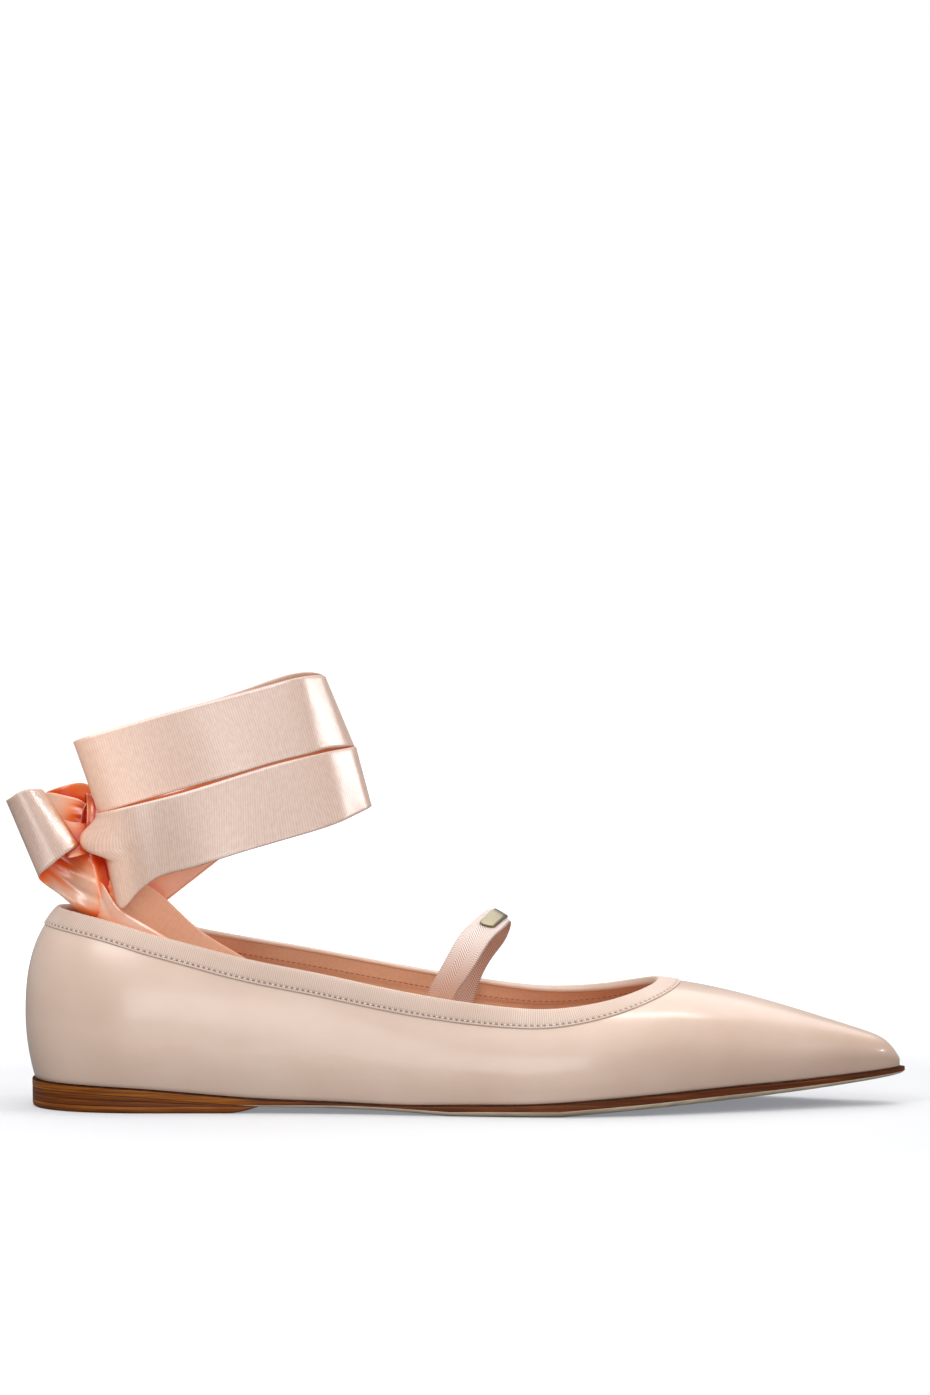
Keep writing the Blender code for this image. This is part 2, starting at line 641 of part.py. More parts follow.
def make_ribbons():
    """The ankle tie: two risers, two wraps, and the knot with its bow."""
    satin = principled("ribbon_satin", (0.84, 0.66, 0.56), 0.45)
    make_ribbon("riser_lateral", RISER_LATERAL, 26, satin)
    make_ribbon("riser_medial", RISER_MEDIAL, 28, satin)
    make_ribbon("wrap_lower", WRAP_LOWER, 40, satin)
    make_ribbon("wrap_upper", WRAP_UPPER, 40, satin, closed=True)
    make_ribbon("bow_loop_lateral", BOW_LOOP_LATERAL, 18, satin)
    make_ribbon("bow_loop_medial", BOW_LOOP_MEDIAL, 16, satin)
    make_ribbon("bow_end", BOW_END, 12, satin)
    bpy.ops.mesh.primitive_uv_sphere_add(segments=14, ring_count=9, radius=1.0)
    knot = bpy.context.object
    knot.name = "knot"
    knot.data.name = "knot"
    x, y, z = KNOT_CENTRE
    knot.location = ((x - HEEL_TO_ORIGIN) * MM, y * MM, z * MM)
    knot.scale = [half * MM for half in KNOT_HALF]
    bpy.ops.object.transform_apply(location=False, rotation=False, scale=True)
    knot.data.shade_smooth()
    knot.data.materials.append(satin)
    for collection in list(knot.users_collection):
        collection.objects.unlink(knot)
    shoe.objects.link(knot)


def make_strap():
    """The instep elastic and the plain bar that lies along it."""
    folds = [Fold(arch.place, (arch.back, arch.across, arch.back_height),
                  (arch.front, arch.across, arch.front_height)) for arch in STRAP]
    elastic = principled("strap_elastic", (0.8, 0.63, 0.55), 0.7)
    make_ribbon("instep_strap", folds, 30, elastic, STRAP_THICKNESS)
    fine = ribbon_edges(folds, 400)
    middle = 0.5 * (fine[:, :3] + fine[:, 3:])
    bar_middle = int(np.argmin(np.abs(middle[:, 1] - BAR_ACROSS)))
    travel = np.concatenate([[0.0], np.cumsum(np.linalg.norm(np.diff(middle, axis=0), axis=1))])
    half = 0.5 * BAR_LENGTH
    inside = [i for i in range(len(fine)) if abs(travel[i] - travel[bar_middle]) <= half]
    lift = 0.5 * STRAP_THICKNESS + PIECE_GAP + 0.5 * BAR_THICKNESS
    points = []
    for i in np.linspace(inside[0], inside[-1], 11).astype(int):
        along = middle[i + 1] - middle[i - 1]
        across = fine[i, 3:] - fine[i, :3]
        across /= np.linalg.norm(across)
        out = np.cross(across, along)
        out *= math.copysign(1.0, out[2]) / np.linalg.norm(out)
        for side in (-0.5, 0.5):
            points.append(middle[i] + out * lift + across * side * BAR_WIDTH)
    metal = principled("bar_metal", (0.83, 0.74, 0.55), 0.3, 1.0)
    bar = make_object("strap_bar", points, grid_faces(11, 2), metal)
    add_wall(bar, BAR_THICKNESS, 0.0)


# The parts go in one collection. Everything is made at its place in the shoe.
for old in list(bpy.data.objects):
    bpy.data.objects.remove(old)
shoe = bpy.data.collections.new("ballet_flat")
bpy.context.scene.collection.children.link(shoe)
make_upper()
make_bottom()
make_binding()
make_strap()
make_ribbons()
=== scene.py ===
import math
from collections import namedtuple

import bmesh
import bpy
import numpy as np
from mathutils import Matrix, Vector
from mathutils.bvhtree import BVHTree
from mathutils.kdtree import KDTree


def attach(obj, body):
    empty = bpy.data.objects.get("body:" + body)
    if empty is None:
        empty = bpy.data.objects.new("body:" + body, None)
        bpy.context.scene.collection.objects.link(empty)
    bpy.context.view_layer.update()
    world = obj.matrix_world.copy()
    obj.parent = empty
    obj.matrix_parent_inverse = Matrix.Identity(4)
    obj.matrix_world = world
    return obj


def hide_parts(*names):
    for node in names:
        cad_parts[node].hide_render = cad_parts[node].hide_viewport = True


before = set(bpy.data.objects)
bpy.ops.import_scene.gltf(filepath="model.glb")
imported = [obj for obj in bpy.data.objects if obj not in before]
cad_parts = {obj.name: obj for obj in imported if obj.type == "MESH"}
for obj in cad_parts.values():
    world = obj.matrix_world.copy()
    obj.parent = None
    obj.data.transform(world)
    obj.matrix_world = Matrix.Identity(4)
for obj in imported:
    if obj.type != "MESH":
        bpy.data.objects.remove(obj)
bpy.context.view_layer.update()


# Outsole: one piece of vegetable-tanned sole leather, 4 mm thick at the ball and skived thin at the waist.
# Its edge is trimmed square, inked dark brown and waxed. The bottom keeps the hide's own beige, and its
# corner is bevelled by hand. It is cemented to the lasted upper.
MM = 0.001
HEEL_TO_ORIGIN = 31.0
SOLE_TIP, TOE_ROUND_START, TOE_ROUND_POWER = 262.0, 246.0, 4
FAN_AXIS, FAN_POWER, FAN_END = 36.0, 2.25, 0.5 * np.pi
INSET_AT_TIP, INSET_AT_SIDE = 2.2, 1.08
LATERAL, MEDIAL = -1.0, 1.0

Sole = namedtuple("Sole", "station half_width axis top bottom bevel")
SOLE = [
    Sole(0.0, 26.3, 0.0, 8.3, 5.95, 0.15),
    Sole(36.0, 26.6, 0.0, 6.9, 4.55, 0.15),
    Sole(60.0, 25.9, -0.7, 4.9, 2.55, 0.2),
    Sole(75.0, 25.6, -1.8, 4.1, 2.0, 0.5),
    Sole(92.0, 25.9, -3.0, 3.6, 1.75, 0.8),
    Sole(110.0, 27.7, -3.9, 3.0, 1.1, 0.9),
    Sole(130.0, 31.2, -4.0, 3.4, -0.3, 1.3),
    Sole(150.0, 34.9, -2.9, 3.8, -0.5, 1.5),
    Sole(166.0, 36.1, -1.4, 4.8, 0.7, 1.5),
    Sole(182.0, 34.4, 0.0, 5.9, 1.9, 1.4),
    Sole(198.0, 30.2, 0.9, 7.0, 3.1, 1.4),
    Sole(214.0, 24.5, 1.4, 8.0, 4.3, 1.3),
    Sole(230.0, 17.9, 1.7, 8.8, 5.6, 1.1),
    Sole(246.0, 10.7, 1.9, 9.9, 7.2, 0.9),
    Sole(262.0, 5.2, 1.9, 11.3, 9.3, 0.7),
]


def smooth_curve(xs, ys):
    """A smooth curve through a table's rows with straight ends, as a function of a number or an array."""
    xs, ys = np.array(xs, float), np.array(ys, float)
    step = np.diff(xs)
    slope = np.diff(ys) / step
    matrix, right = np.eye(len(xs)), np.zeros(len(xs))
    for i in range(1, len(xs) - 1):
        matrix[i, i - 1:i + 2] = step[i - 1], 2.0 * (step[i - 1] + step[i]), step[i]
        right[i] = 6.0 * (slope[i] - slope[i - 1])
    bend = np.linalg.solve(matrix, right)

    def value(x):
        x = np.clip(x, xs[0], xs[-1])
        i = np.clip(np.searchsorted(xs, x, side="right") - 1, 0, len(xs) - 2)
        far = (xs[i + 1] - x) / step[i]
        near = (x - xs[i]) / step[i]
        curve = (far ** 3 - far) * bend[i] + (near ** 3 - near) * bend[i + 1]
        return far * ys[i] + near * ys[i + 1] + curve * step[i] ** 2 / 6.0

    return value


def column_of(table, name):
    """The smooth curve of one named column of a table."""
    return smooth_curve([row[0] for row in table], [getattr(row, name) for row in table])


def ease(x, low, high):
    """From 0 at low to 1 at high, smooth at both ends."""
    t = np.clip((np.asarray(x, float) - low) / (high - low), 0.0, 1.0)
    return t * t * (3.0 - 2.0 * t)


sole_half_width, sole_axis = column_of(SOLE, "half_width"), column_of(SOLE, "axis")
sole_top, sole_raw_bottom = column_of(SOLE, "top"), column_of(SOLE, "bottom")
sole_bevel = column_of(SOLE, "bevel")


def sole_bottom(station):
    """The outsole's lower face, pressed flat where it rests on the floor."""
    return np.maximum(0.0, sole_raw_bottom(station))


def around(back, side, angle):
    """Distance from the fan axis to the rounded heel outline. The angle is zero straight back."""
    across = (np.abs(np.cos(angle)) / back) ** FAN_POWER + (np.abs(np.sin(angle)) / side) ** FAN_POWER
    return across ** (-1.0 / FAN_POWER)


def outline_half_width(station, inset):
    """Half the sole's width, moved in by an inset and rounded off at the toe."""
    tip = SOLE_TIP - INSET_AT_TIP * inset
    start = TOE_ROUND_START - INSET_AT_TIP * inset
    turn = np.clip((station - start) / (tip - start), 0.0, 1.0)
    half = np.maximum(0.0, sole_half_width(station) - INSET_AT_SIDE * inset)
    return half * np.sqrt(1.0 - turn ** TOE_ROUND_POWER)


def outline_columns(fan, straight, tip=SOLE_TIP, crowding=1.8):
    """Angle and station of points from the heel's back to the tip, closer together towards the tip."""
    share = 1.0 - (1.0 - np.arange(straight + 1) / straight) ** crowding
    angle = np.concatenate([FAN_END * np.arange(fan) / fan, np.full(straight + 1, FAN_END)])
    station = np.concatenate([np.full(fan, FAN_AXIS), FAN_AXIS + (tip - FAN_AXIS) * share])
    return angle, station


def outline_loop(columns, inset):
    """Station and place across, once round: the lateral side to the tip, then the medial side back."""
    angle, station = columns
    reach = around(FAN_AXIS - inset, outline_half_width(FAN_AXIS, inset), angle)
    fan = angle < FAN_END
    station = np.minimum(station, SOLE_TIP - INSET_AT_TIP * inset)
    along = np.where(fan, FAN_AXIS - reach * np.cos(angle), station)
    half = np.where(fan, reach * np.sin(angle), outline_half_width(station, inset))
    middle = np.where(fan, 0.0, sole_axis(station))
    loop = np.vstack([np.column_stack([along, middle + side * half]) for side in (LATERAL, MEDIAL)])
    count = len(along)
    return np.vstack([loop[:count], loop[count:][::-1]])


def srgb(code, alpha=1.0):
    """A six-figure sRGB colour as linear red, green, blue and alpha."""
    channels = [int(code[i:i + 2], 16) / 255.0 for i in (1, 3, 5)]
    return tuple(c / 12.92 if c <= 0.04045 else ((c + 0.055) / 1.055) ** 2.4 for c in channels) + (alpha,)


def node(tree, kind, inputs=None, stops=(), **settings):
    """Adds a node with its settings. An input's value is a number, a colour or the socket that feeds it.
    A stop of a colour ramp is its place and its colour."""
    made = tree.nodes.new(kind)
    for key, value in settings.items():
        setattr(made, key, value)
    for key, value in (inputs or {}).items():
        if isinstance(value, bpy.types.NodeSocket):
            tree.links.new(value, made.inputs[key])
        else:
            made.inputs[key].default_value = value
    if stops:
        elements = made.color_ramp.elements
        while len(elements) < len(stops):
            elements.new(0.5)
        for element, (place, code) in zip(elements, stops):
            element.position = place
            element.color = srgb(code)
    return made


def new_finish(name, **sockets):
    """A material with one Principled shader. Returns the material, its tree and the shader."""
    material = bpy.data.materials.new(name)
    material.use_nodes = True
    tree = material.node_tree
    shader = tree.nodes["Principled BSDF"]
    for key, value in sockets.items():
        shader.inputs[key.replace("_", " ")].default_value = value
    return material, tree, shader


def put_in_scene(name, data):
    """An object that shows a mesh, a light or a camera, linked to the scene."""
    made = bpy.data.objects.new(name, data)
    bpy.context.scene.collection.objects.link(made)
    return made


def build(name, points, faces, finishes, zones=None, smooth=True):
    """A mesh piece from points in millimetres, at its place in the shoe. Zones give each face its finish."""
    mesh = bpy.data.meshes.new(name)
    mesh.from_pydata((np.asarray(points) * MM).tolist(), [], [tuple(f) for f in faces])
    for finish in finishes:
        mesh.materials.append(finish)
    if zones is not None:
        mesh.polygons.foreach_set("material_index", np.asarray(zones, np.int32))
    if smooth:
        mesh.shade_smooth()
    return put_in_scene(name, mesh)


def grid(columns, rows, first=0, closed=False, flip=False):
    """Quads of a grid of points that is numbered column by column."""
    i = np.arange(columns if closed else columns - 1)[:, None]
    j = np.arange(rows - 1)[None, :]
    a = first + i * rows + j
    b = first + (i + 1) % columns * rows + j
    quads = np.stack([a, b, b + 1, a + 1], axis=-1).reshape(-1, 4)
    return quads[:, ::-1] if flip else quads


def layer(name, columns, profile, finishes, zones, across=10):
    """A flat layer of the bottom: closed loops from the top face's rim round the edge to the lower face's,
    each with an inset and a height for every station, and both faces laid between their two sides."""
    loops = []
    for inset, height in profile:
        inset = np.broadcast_to(inset(columns[1]) if callable(inset) else inset, columns[0].shape)
        flat = outline_loop(columns, inset)
        loops.append(np.column_stack([flat[:, 0] - HEEL_TO_ORIGIN, flat[:, 1], height(flat[:, 0])]))
    count = len(loops[0])
    points = [np.stack(loops, axis=1).reshape(-1, 3)]
    faces = [grid(count, len(loops), closed=True, flip=True)]
    zone = [np.tile(zones[1:-1], count)]
    half = count // 2
    for loop, flip, of in ((loops[0], False, zones[0]), (loops[-1], True, zones[-1])):
        near, far = loop[:half], loop[half:][::-1]
        share = np.linspace(0.0, 1.0, across)[None, :, None]
        sheet = near[:, None, :] * (1.0 - share) + far[:, None, :] * share
        faces.append(grid(half, across, sum(len(p) for p in points), flip=flip))
        points.append(sheet.reshape(-1, 3))
        zone.append(np.full(len(faces[-1]), of))
    piece = build(name, np.vstack(points), np.vstack(faces), finishes, np.concatenate(zone))
    tidy(piece)
    return piece


def tidy(piece, apart=0.004):
    """Merges doubled points and drops faces without area."""
    work = bmesh.new()
    work.from_mesh(piece.data)
    bmesh.ops.remove_doubles(work, verts=work.verts, dist=apart * MM)
    bmesh.ops.dissolve_degenerate(work, edges=work.edges, dist=0.5 * apart * MM)
    work.to_mesh(piece.data)
    work.free()


# Waxed edge ink on sole leather: opaque brown dye, burnished with hot wax, so it is smooth with a low gloss.
# It is tan brown round the heel and dark brown ahead of it. Its streaks are about 22 mm long and 0.5 mm high.
BREAST_START, BREAST_END = 0.0295, 0.0400
EDGE_STREAKS = 45.0, 45.0, 1900.0
edge_ink, tree, shader = new_finish("waxed_edge_ink", Roughness=0.48, IOR=1.32)
place = node(tree, "ShaderNodeTexCoord").outputs["Object"]
apart = node(tree, "ShaderNodeSeparateXYZ", {0: place})
forward = node(tree, "ShaderNodeMapRange", {0: apart.outputs["X"], 1: BREAST_START, 2: BREAST_END})
drawn_out = node(tree, "ShaderNodeMapping", {0: place, 3: EDGE_STREAKS}).outputs[0]
streak = node(tree, "ShaderNodeTexNoise", {"Vector": drawn_out, "Scale": 1.0, "Detail": 5.0,
                                           "Roughness": 0.6})
heel_brown = node(tree, "ShaderNodeValToRGB", {0: streak.outputs[0]},
                  stops=[(0.3, "#552605"), (0.5, "#884a0c"), (0.72, "#a66612")])
dark_brown = node(tree, "ShaderNodeValToRGB", {0: streak.outputs[0]},
                  stops=[(0.3, "#351505"), (0.52, "#643010"), (0.75, "#87491c")])
ink = node(tree, "ShaderNodeMix", {0: forward.outputs[0], 6: heel_brown.outputs[0], 7: dark_brown.outputs[0]},
           data_type="RGBA")
tree.links.new(ink.outputs[2], shader.inputs["Base Color"])
bump = node(tree, "ShaderNodeBump", {"Strength": 0.25, "Distance": 0.0001, "Height": streak.outputs[0]})
tree.links.new(bump.outputs[0], shader.inputs["Normal"])

# The same ink, darker still in the groove beside the upper: painted shade under the upper's edge. It is dull
# there, in blotches about 3 mm across.
groove_shaded_ink, tree, shader = new_finish("groove_shaded_ink", Roughness=0.8, IOR=1.4, Specular_IOR_Level=0.15)
place = node(tree, "ShaderNodeTexCoord").outputs["Object"]
blotch = node(tree, "ShaderNodeTexNoise", {"Vector": place, "Scale": 300.0, "Detail": 3.0})
painted_groove_shade = node(tree, "ShaderNodeValToRGB", {0: blotch.outputs[0]},
               stops=[(0.35, "#2e1204"), (0.7, "#4c220a")])
tree.links.new(painted_groove_shade.outputs[0], shader.inputs["Base Color"])

# Vegetable-tanned sole leather, rolled hard and lightly sanded: matte beige, cloudy over some 35 mm, with a
# 1 mm fibre and faint scuffs about 17 mm long along the shoe. Under the heel the ink covers it.
SCUFFS = 60.0, 900.0, 60.0
INKED_TO, BARE_FROM = BREAST_START + 0.001, BREAST_START + 0.005
sole_hide, tree, shader = new_finish("sole_hide", Roughness=0.62, IOR=1.46)
place = node(tree, "ShaderNodeTexCoord").outputs["Object"]
apart = node(tree, "ShaderNodeSeparateXYZ", {0: place})
fibre = node(tree, "ShaderNodeTexNoise", {"Vector": place, "Scale": 900.0, "Detail": 4.0})
cloud = node(tree, "ShaderNodeTexNoise", {"Vector": place, "Scale": 28.0, "Detail": 3.0})
brushed = node(tree, "ShaderNodeMapping", {0: place, 3: SCUFFS})
scuff = node(tree, "ShaderNodeTexNoise", {"Vector": brushed.outputs[0], "Scale": 1.0, "Detail": 6.0})
scuffs = node(tree, "ShaderNodeMath", {0: cloud.outputs[0], 1: scuff.outputs[0]}, operation="MULTIPLY")
worn = node(tree, "ShaderNodeValToRGB", {0: scuffs.outputs[0]},
            stops=[(0.12, "#b29f88"), (0.26, "#cdbca4"), (0.42, "#dccdb7")])
under_heel = node(tree, "ShaderNodeMapRange", {0: apart.outputs["X"], 1: BARE_FROM, 2: INKED_TO})
bottom = node(tree, "ShaderNodeMix", {0: under_heel.outputs[0], 6: worn.outputs[0], 7: srgb("#64340c")},
              data_type="RGBA")
tree.links.new(bottom.outputs[2], shader.inputs["Base Color"])
bump = node(tree, "ShaderNodeBump", {"Strength": 0.3, "Distance": 0.0001, "Height": fibre.outputs[0]})
tree.links.new(bump.outputs[0], shader.inputs["Normal"])

INK, GROOVE, HIDE = 0, 1, 2
EDGE_PROFILE = [
    (0.9, lambda s: sole_top(s)),
    (0.2, lambda s: sole_top(s)),
    (0.05, lambda s: sole_top(s) - 0.1),
    (0.0, lambda s: sole_top(s) - 0.32),
    (0.0, lambda s: sole_top(s) - 0.55),
    (0.0, lambda s: sole_bottom(s) + 1.12 * sole_bevel(s)),
    (lambda s: 0.04 * sole_bevel(s), lambda s: sole_bottom(s) + 0.94 * sole_bevel(s)),
    (lambda s: 0.3 * sole_bevel(s), lambda s: sole_bottom(s) + 0.52 * sole_bevel(s)),
    (lambda s: 0.72 * sole_bevel(s), lambda s: sole_bottom(s) + 0.18 * sole_bevel(s)),
    (lambda s: 1.3 * sole_bevel(s), lambda s: sole_bottom(s)),
]
EDGE_ZONES = [HIDE, GROOVE, GROOVE, GROOVE, INK, INK, HIDE, HIDE, HIDE, HIDE, HIDE]
outsole = layer("outsole_leather", outline_columns(fan=40, straight=260), EDGE_PROFILE,
                [edge_ink, groove_shaded_ink, sole_hide], EDGE_ZONES)
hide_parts("outsole")
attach(outsole, "root")


# Heel: a wedge of two thin leather lifts and a leather top piece, cemented and pinned under the sole's seat,
# then trimmed and burnished together. The layers show as darker and lighter brown bands.
TOP_PIECE_TOP = 2.08
LIFT_END, TOP_PIECE_END, SKIVE_START = 66.0, 68.6, 58.5
THIN_LIFT, THIN_HEEL = 0.05, 0.12


def burnished_stack(name, roughness, ior, streaks, streak_roughness, stops, relief):
    """Stained stack leather, ironed with wax: brown with a low gloss, and streaked along its edge like cut
    hide. The streaks are counted per metre in each direction, about 25 mm long and 0.7 mm high."""
    finish, tree, shader = new_finish(name, Roughness=roughness, IOR=ior)
    place = node(tree, "ShaderNodeTexCoord").outputs["Object"]
    drawn_out = node(tree, "ShaderNodeMapping", {0: place, 3: streaks}).outputs[0]
    streak = node(tree, "ShaderNodeTexNoise", {"Vector": drawn_out, "Scale": 1.0, "Detail": 6.0,
                                               "Roughness": streak_roughness})
    stained = node(tree, "ShaderNodeValToRGB", {0: streak.outputs[0]}, stops=stops)
    tree.links.new(stained.outputs[0], shader.inputs["Base Color"])
    bump = node(tree, "ShaderNodeBump", {"Strength": relief, "Distance": 0.0001, "Height": streak.outputs[0]})
    tree.links.new(bump.outputs[0], shader.inputs["Normal"])
    return finish


stack_ink = burnished_stack("burnished_lift", 0.5, 1.3, (38.0, 38.0, 1500.0), 0.65,
                            [(0.3, "#3a1501"), (0.5, "#633008"), (0.72, "#84490c")], relief=0.4)
top_ink = burnished_stack("burnished_top_piece", 0.48, 1.32, (50.0, 50.0, 1300.0), 0.6,
                          [(0.3, "#4c2403"), (0.52, "#7c400a"), (0.74, "#965a10")], relief=0.3)


def lift_bottom(station):
    """The joint of the lift and the top piece."""
    return np.minimum(TOP_PIECE_TOP, sole_bottom(station) - THIN_LIFT)


def tread(station):
    """The top piece's lower face: flat on the floor, then skived up to the sole at the breast."""
    skived = np.clip((station - SKIVE_START) / (TOP_PIECE_END - SKIVE_START), 0.0, 1.0) ** 2
    return skived * (sole_bottom(station) - THIN_HEEL)


lift = layer("heel_lifts", outline_columns(fan=40, straight=40, tip=LIFT_END, crowding=1.0), [
    (0.12, lambda s: sole_bottom(s) - 0.01),
    (0.05, lambda s: sole_bottom(s) - 0.12 * (sole_bottom(s) - lift_bottom(s))),
    (0.03, lambda s: 0.52 * sole_bottom(s) + 0.48 * lift_bottom(s)),
    (0.12, lambda s: 0.49 * sole_bottom(s) + 0.51 * lift_bottom(s)),
    (0.05, lambda s: 0.44 * sole_bottom(s) + 0.56 * lift_bottom(s)),
    (0.07, lambda s: lift_bottom(s) + 0.12 * (sole_bottom(s) - lift_bottom(s))),
    (0.14, lambda s: lift_bottom(s) + 0.01)], [stack_ink], [0] * 8)
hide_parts("heel_lift")
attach(lift, "root")

top_piece = layer("heel_top_piece", outline_columns(fan=40, straight=60, tip=TOP_PIECE_END, crowding=1.0), [
    (0.14, lambda s: lift_bottom(s)),
    (0.05, lambda s: lift_bottom(s) - 0.1),
    (0.1, lambda s: tread(s) + 0.45 * (lift_bottom(s) - tread(s))),
    (0.3, lambda s: tread(s) + 0.16 * (lift_bottom(s) - tread(s))),
    (0.8, lambda s: tread(s))], [top_ink, sole_hide], [0, 0, 0, 0, 0, 1])
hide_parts("top_piece")
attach(top_piece, "root")


# Upper: smooth dyed calf, 0.9 mm thick, pulled over the last and cemented under it. It is one piece with a
# closed seam down the back of the heel, and its lasted margin turns in at the sole.
THROAT, THROAT_START, THROAT_POWER = 188.0, 146.0, 2.5
FEATHER_INSET, FEATHER_LIFT, FULL_BULGE_FROM = 0.7, 0.3, 6.0
NOSE_START, NOSE_END, NOSE_POWER, NOSE_DROP = 247.0, 261.0, 5.2, 0.86
BACK_FEATHER_REACH, BACK_WIDEST_REACH, BACK_WIDEST_HEIGHT = 35.2, 38.0, 28.0
BACK_CROWN_HEIGHT, BACK_POWER, BACK_TOPLINE_HEIGHT = 69.0, 2.45, 59.4
CALF_THICKNESS = 0.9

Last = namedtuple("Last", "station bulge rise crown crown_axis power")
LAST = [
    Last(36.0, 2.6, 15.0, 66.5, 0.0, 2.35),
    Last(60.0, 2.4, 14.5, 67.0, 0.0, 2.3),
    Last(90.0, 2.2, 14.0, 65.0, 0.2, 2.3),
    Last(120.0, 2.0, 12.5, 55.0, 1.2, 2.25),
    Last(148.0, 1.8, 12.0, 44.5, 2.0, 2.2),
    Last(170.0, 1.8, 11.0, 38.9, 2.2, 2.2),
    Last(188.0, 1.7, 9.5, 37.5, 2.2, 2.2),
    Last(205.0, 1.4, 8.0, 34.9, 2.2, 2.15),
    Last(221.0, 1.1, 6.6, 30.9, 2.1, 2.1),
    Last(236.0, 0.8, 5.2, 26.4, 2.0, 2.1),
    Last(251.0, 0.5, 4.0, 21.6, 1.9, 2.1),
    Last(262.0, 0.3, 3.2, 17.8, 1.9, 2.1),
]
Topline = namedtuple("Topline", "station lateral medial")
TOPLINE = [
    Topline(36.0, 52.8, 53.9),
    Topline(50.0, 49.2, 50.6),
    Topline(64.0, 45.6, 48.0),
    Topline(85.0, 41.4, 44.3),
    Topline(105.0, 37.2, 40.4),
    Topline(125.0, 33.7, 36.6),
    Topline(145.0, 31.4, 33.4),
    Topline(165.0, 30.4, 31.6),
    Topline(188.0, 30.0, 31.0),
]
last_bulge, last_rise = column_of(LAST, "bulge"), column_of(LAST, "rise")
last_power = column_of(LAST, "power")
last_crown, last_crown_axis = column_of(LAST, "crown"), column_of(LAST, "crown_axis")
topline_lateral, topline_medial = column_of(TOPLINE, "lateral"), column_of(TOPLINE, "medial")

Section = namedtuple("Section", ["angle", "station", "feather_r", "feather_z", "widest_r", "widest_z",
                                 "crown_z", "axis", "crown_axis", "power"])


def last_section(angle, station):
    """The last's half sections at given stations, or at given angles of the heel's fan."""
    dive = np.clip((station - NOSE_START) / (NOSE_END - NOSE_START), 0.0, None)
    nose = 1.0 - NOSE_DROP * dive ** NOSE_POWER
    feather_r = outline_half_width(station, FEATHER_INSET)
    feather_z = sole_top(station) + FEATHER_LIFT
    widest_r = feather_r + last_bulge(station) * np.minimum(1.0, feather_r / FULL_BULGE_FROM)
    widest_z = feather_z + last_rise(station) * nose
    crown_z = feather_z + (last_crown(station) - feather_z) * nose
    power = last_power(station)
    fan = angle < FAN_END
    turn = np.where(fan, np.cos(angle) ** 2, 0.0)
    feather_r = np.where(fan, around(BACK_FEATHER_REACH, np.maximum(feather_r, 0.01), angle), feather_r)
    widest_r = np.where(fan, around(BACK_WIDEST_REACH, np.maximum(widest_r, 0.01), angle), widest_r)
    feather_z = np.where(fan, sole_top(FAN_AXIS - feather_r * np.cos(angle)) + FEATHER_LIFT, feather_z)
    widest_z = widest_z + (BACK_WIDEST_HEIGHT - widest_z) * turn
    crown_z = crown_z + (BACK_CROWN_HEIGHT - crown_z) * turn
    power = power + (BACK_POWER - power) * turn
    return Section(angle, station, feather_r, feather_z, widest_r, widest_z, crown_z, sole_axis(station),
                   last_crown_axis(station), power)


def of_columns(section):
    """The sections' numbers as a column each, to go with a row of heights."""
    return Section(*[np.asarray(part)[:, None] for part in section])


def section_radius(section, z):
    """Half width of the sections at a height."""
    depth = (section.widest_z - z) / np.maximum(section.widest_z - section.feather_z, 1e-6)
    low = section.widest_r - (section.widest_r - section.feather_r) * depth ** 2
    rise = np.clip((z - section.widest_z) / (section.crown_z - section.widest_z), 0.0, 1.0)
    high = section.widest_r * (1.0 - rise ** section.power) ** (1.0 / section.power)
    return np.where(z <= section.widest_z, low, high)


def section_place(section, side, radius, z):
    """World positions of points of the sections. The axis leans towards the crown."""
    lean = (z - section.feather_z) / (section.crown_z - section.feather_z)
    axis = section.axis + (section.crown_axis - section.axis) * lean
    x = section.station - radius * np.cos(section.angle) - HEEL_TO_ORIGIN
    y = axis + side * radius * np.sin(section.angle)
    return np.stack(np.broadcast_arrays(x, y, z), axis=-1)


def topline_height(section, side):
    """Height of the upper's edge: the topline behind the throat, the crown ahead of it."""
    height = (topline_lateral if side < 0.0 else topline_medial)(section.station)
    back = height + (BACK_TOPLINE_HEIGHT - height) * np.cos(section.angle)
    closing = np.clip((section.station - THROAT_START) / (THROAT - THROAT_START), 0.0, 1.0)
    opening = (1.0 - closing ** THROAT_POWER) ** (1.0 / THROAT_POWER)
    radius = section_radius(section, height) * opening
    share = (1.0 - np.minimum(1.0, radius / section.widest_r) ** section.power) ** (1.0 / section.power)
    front = section.widest_z + (section.crown_z - section.widest_z) * share
    height = np.where(section.station <= THROAT_START, height, front)
    height = np.where(section.angle < FAN_END, back, height)
    return np.where(section.station >= THROAT, section.crown_z, height)


def section_paths(section, side, below, above):
    """Points from the feather edge up to the topline or the crown, a row of points for each section."""
    section = of_columns(section)
    share = np.arange(below)[None, :] / below
    low_z = section.feather_z + (section.widest_z - section.feather_z) * share
    low = section_place(section, side, section_radius(section, low_z), low_z)
    rise = (topline_height(section, side) - section.widest_z) / (section.crown_z - section.widest_z)
    sweep = np.arcsin(np.clip(rise, 0.0, 1.0) ** (0.5 * section.power))
    turn = sweep * np.arange(above + 1)[None, :] / above
    exponent = 2.0 / section.power
    radius = section.widest_r * np.abs(np.cos(turn)) ** exponent
    radius[:, -1:] = np.where(section.station >= THROAT, 0.0, radius[:, -1:])
    high_z = section.widest_z + (section.crown_z - section.widest_z) * np.sin(turn) ** exponent
    return np.concatenate([low, section_place(section, side, radius, high_z)], axis=1)


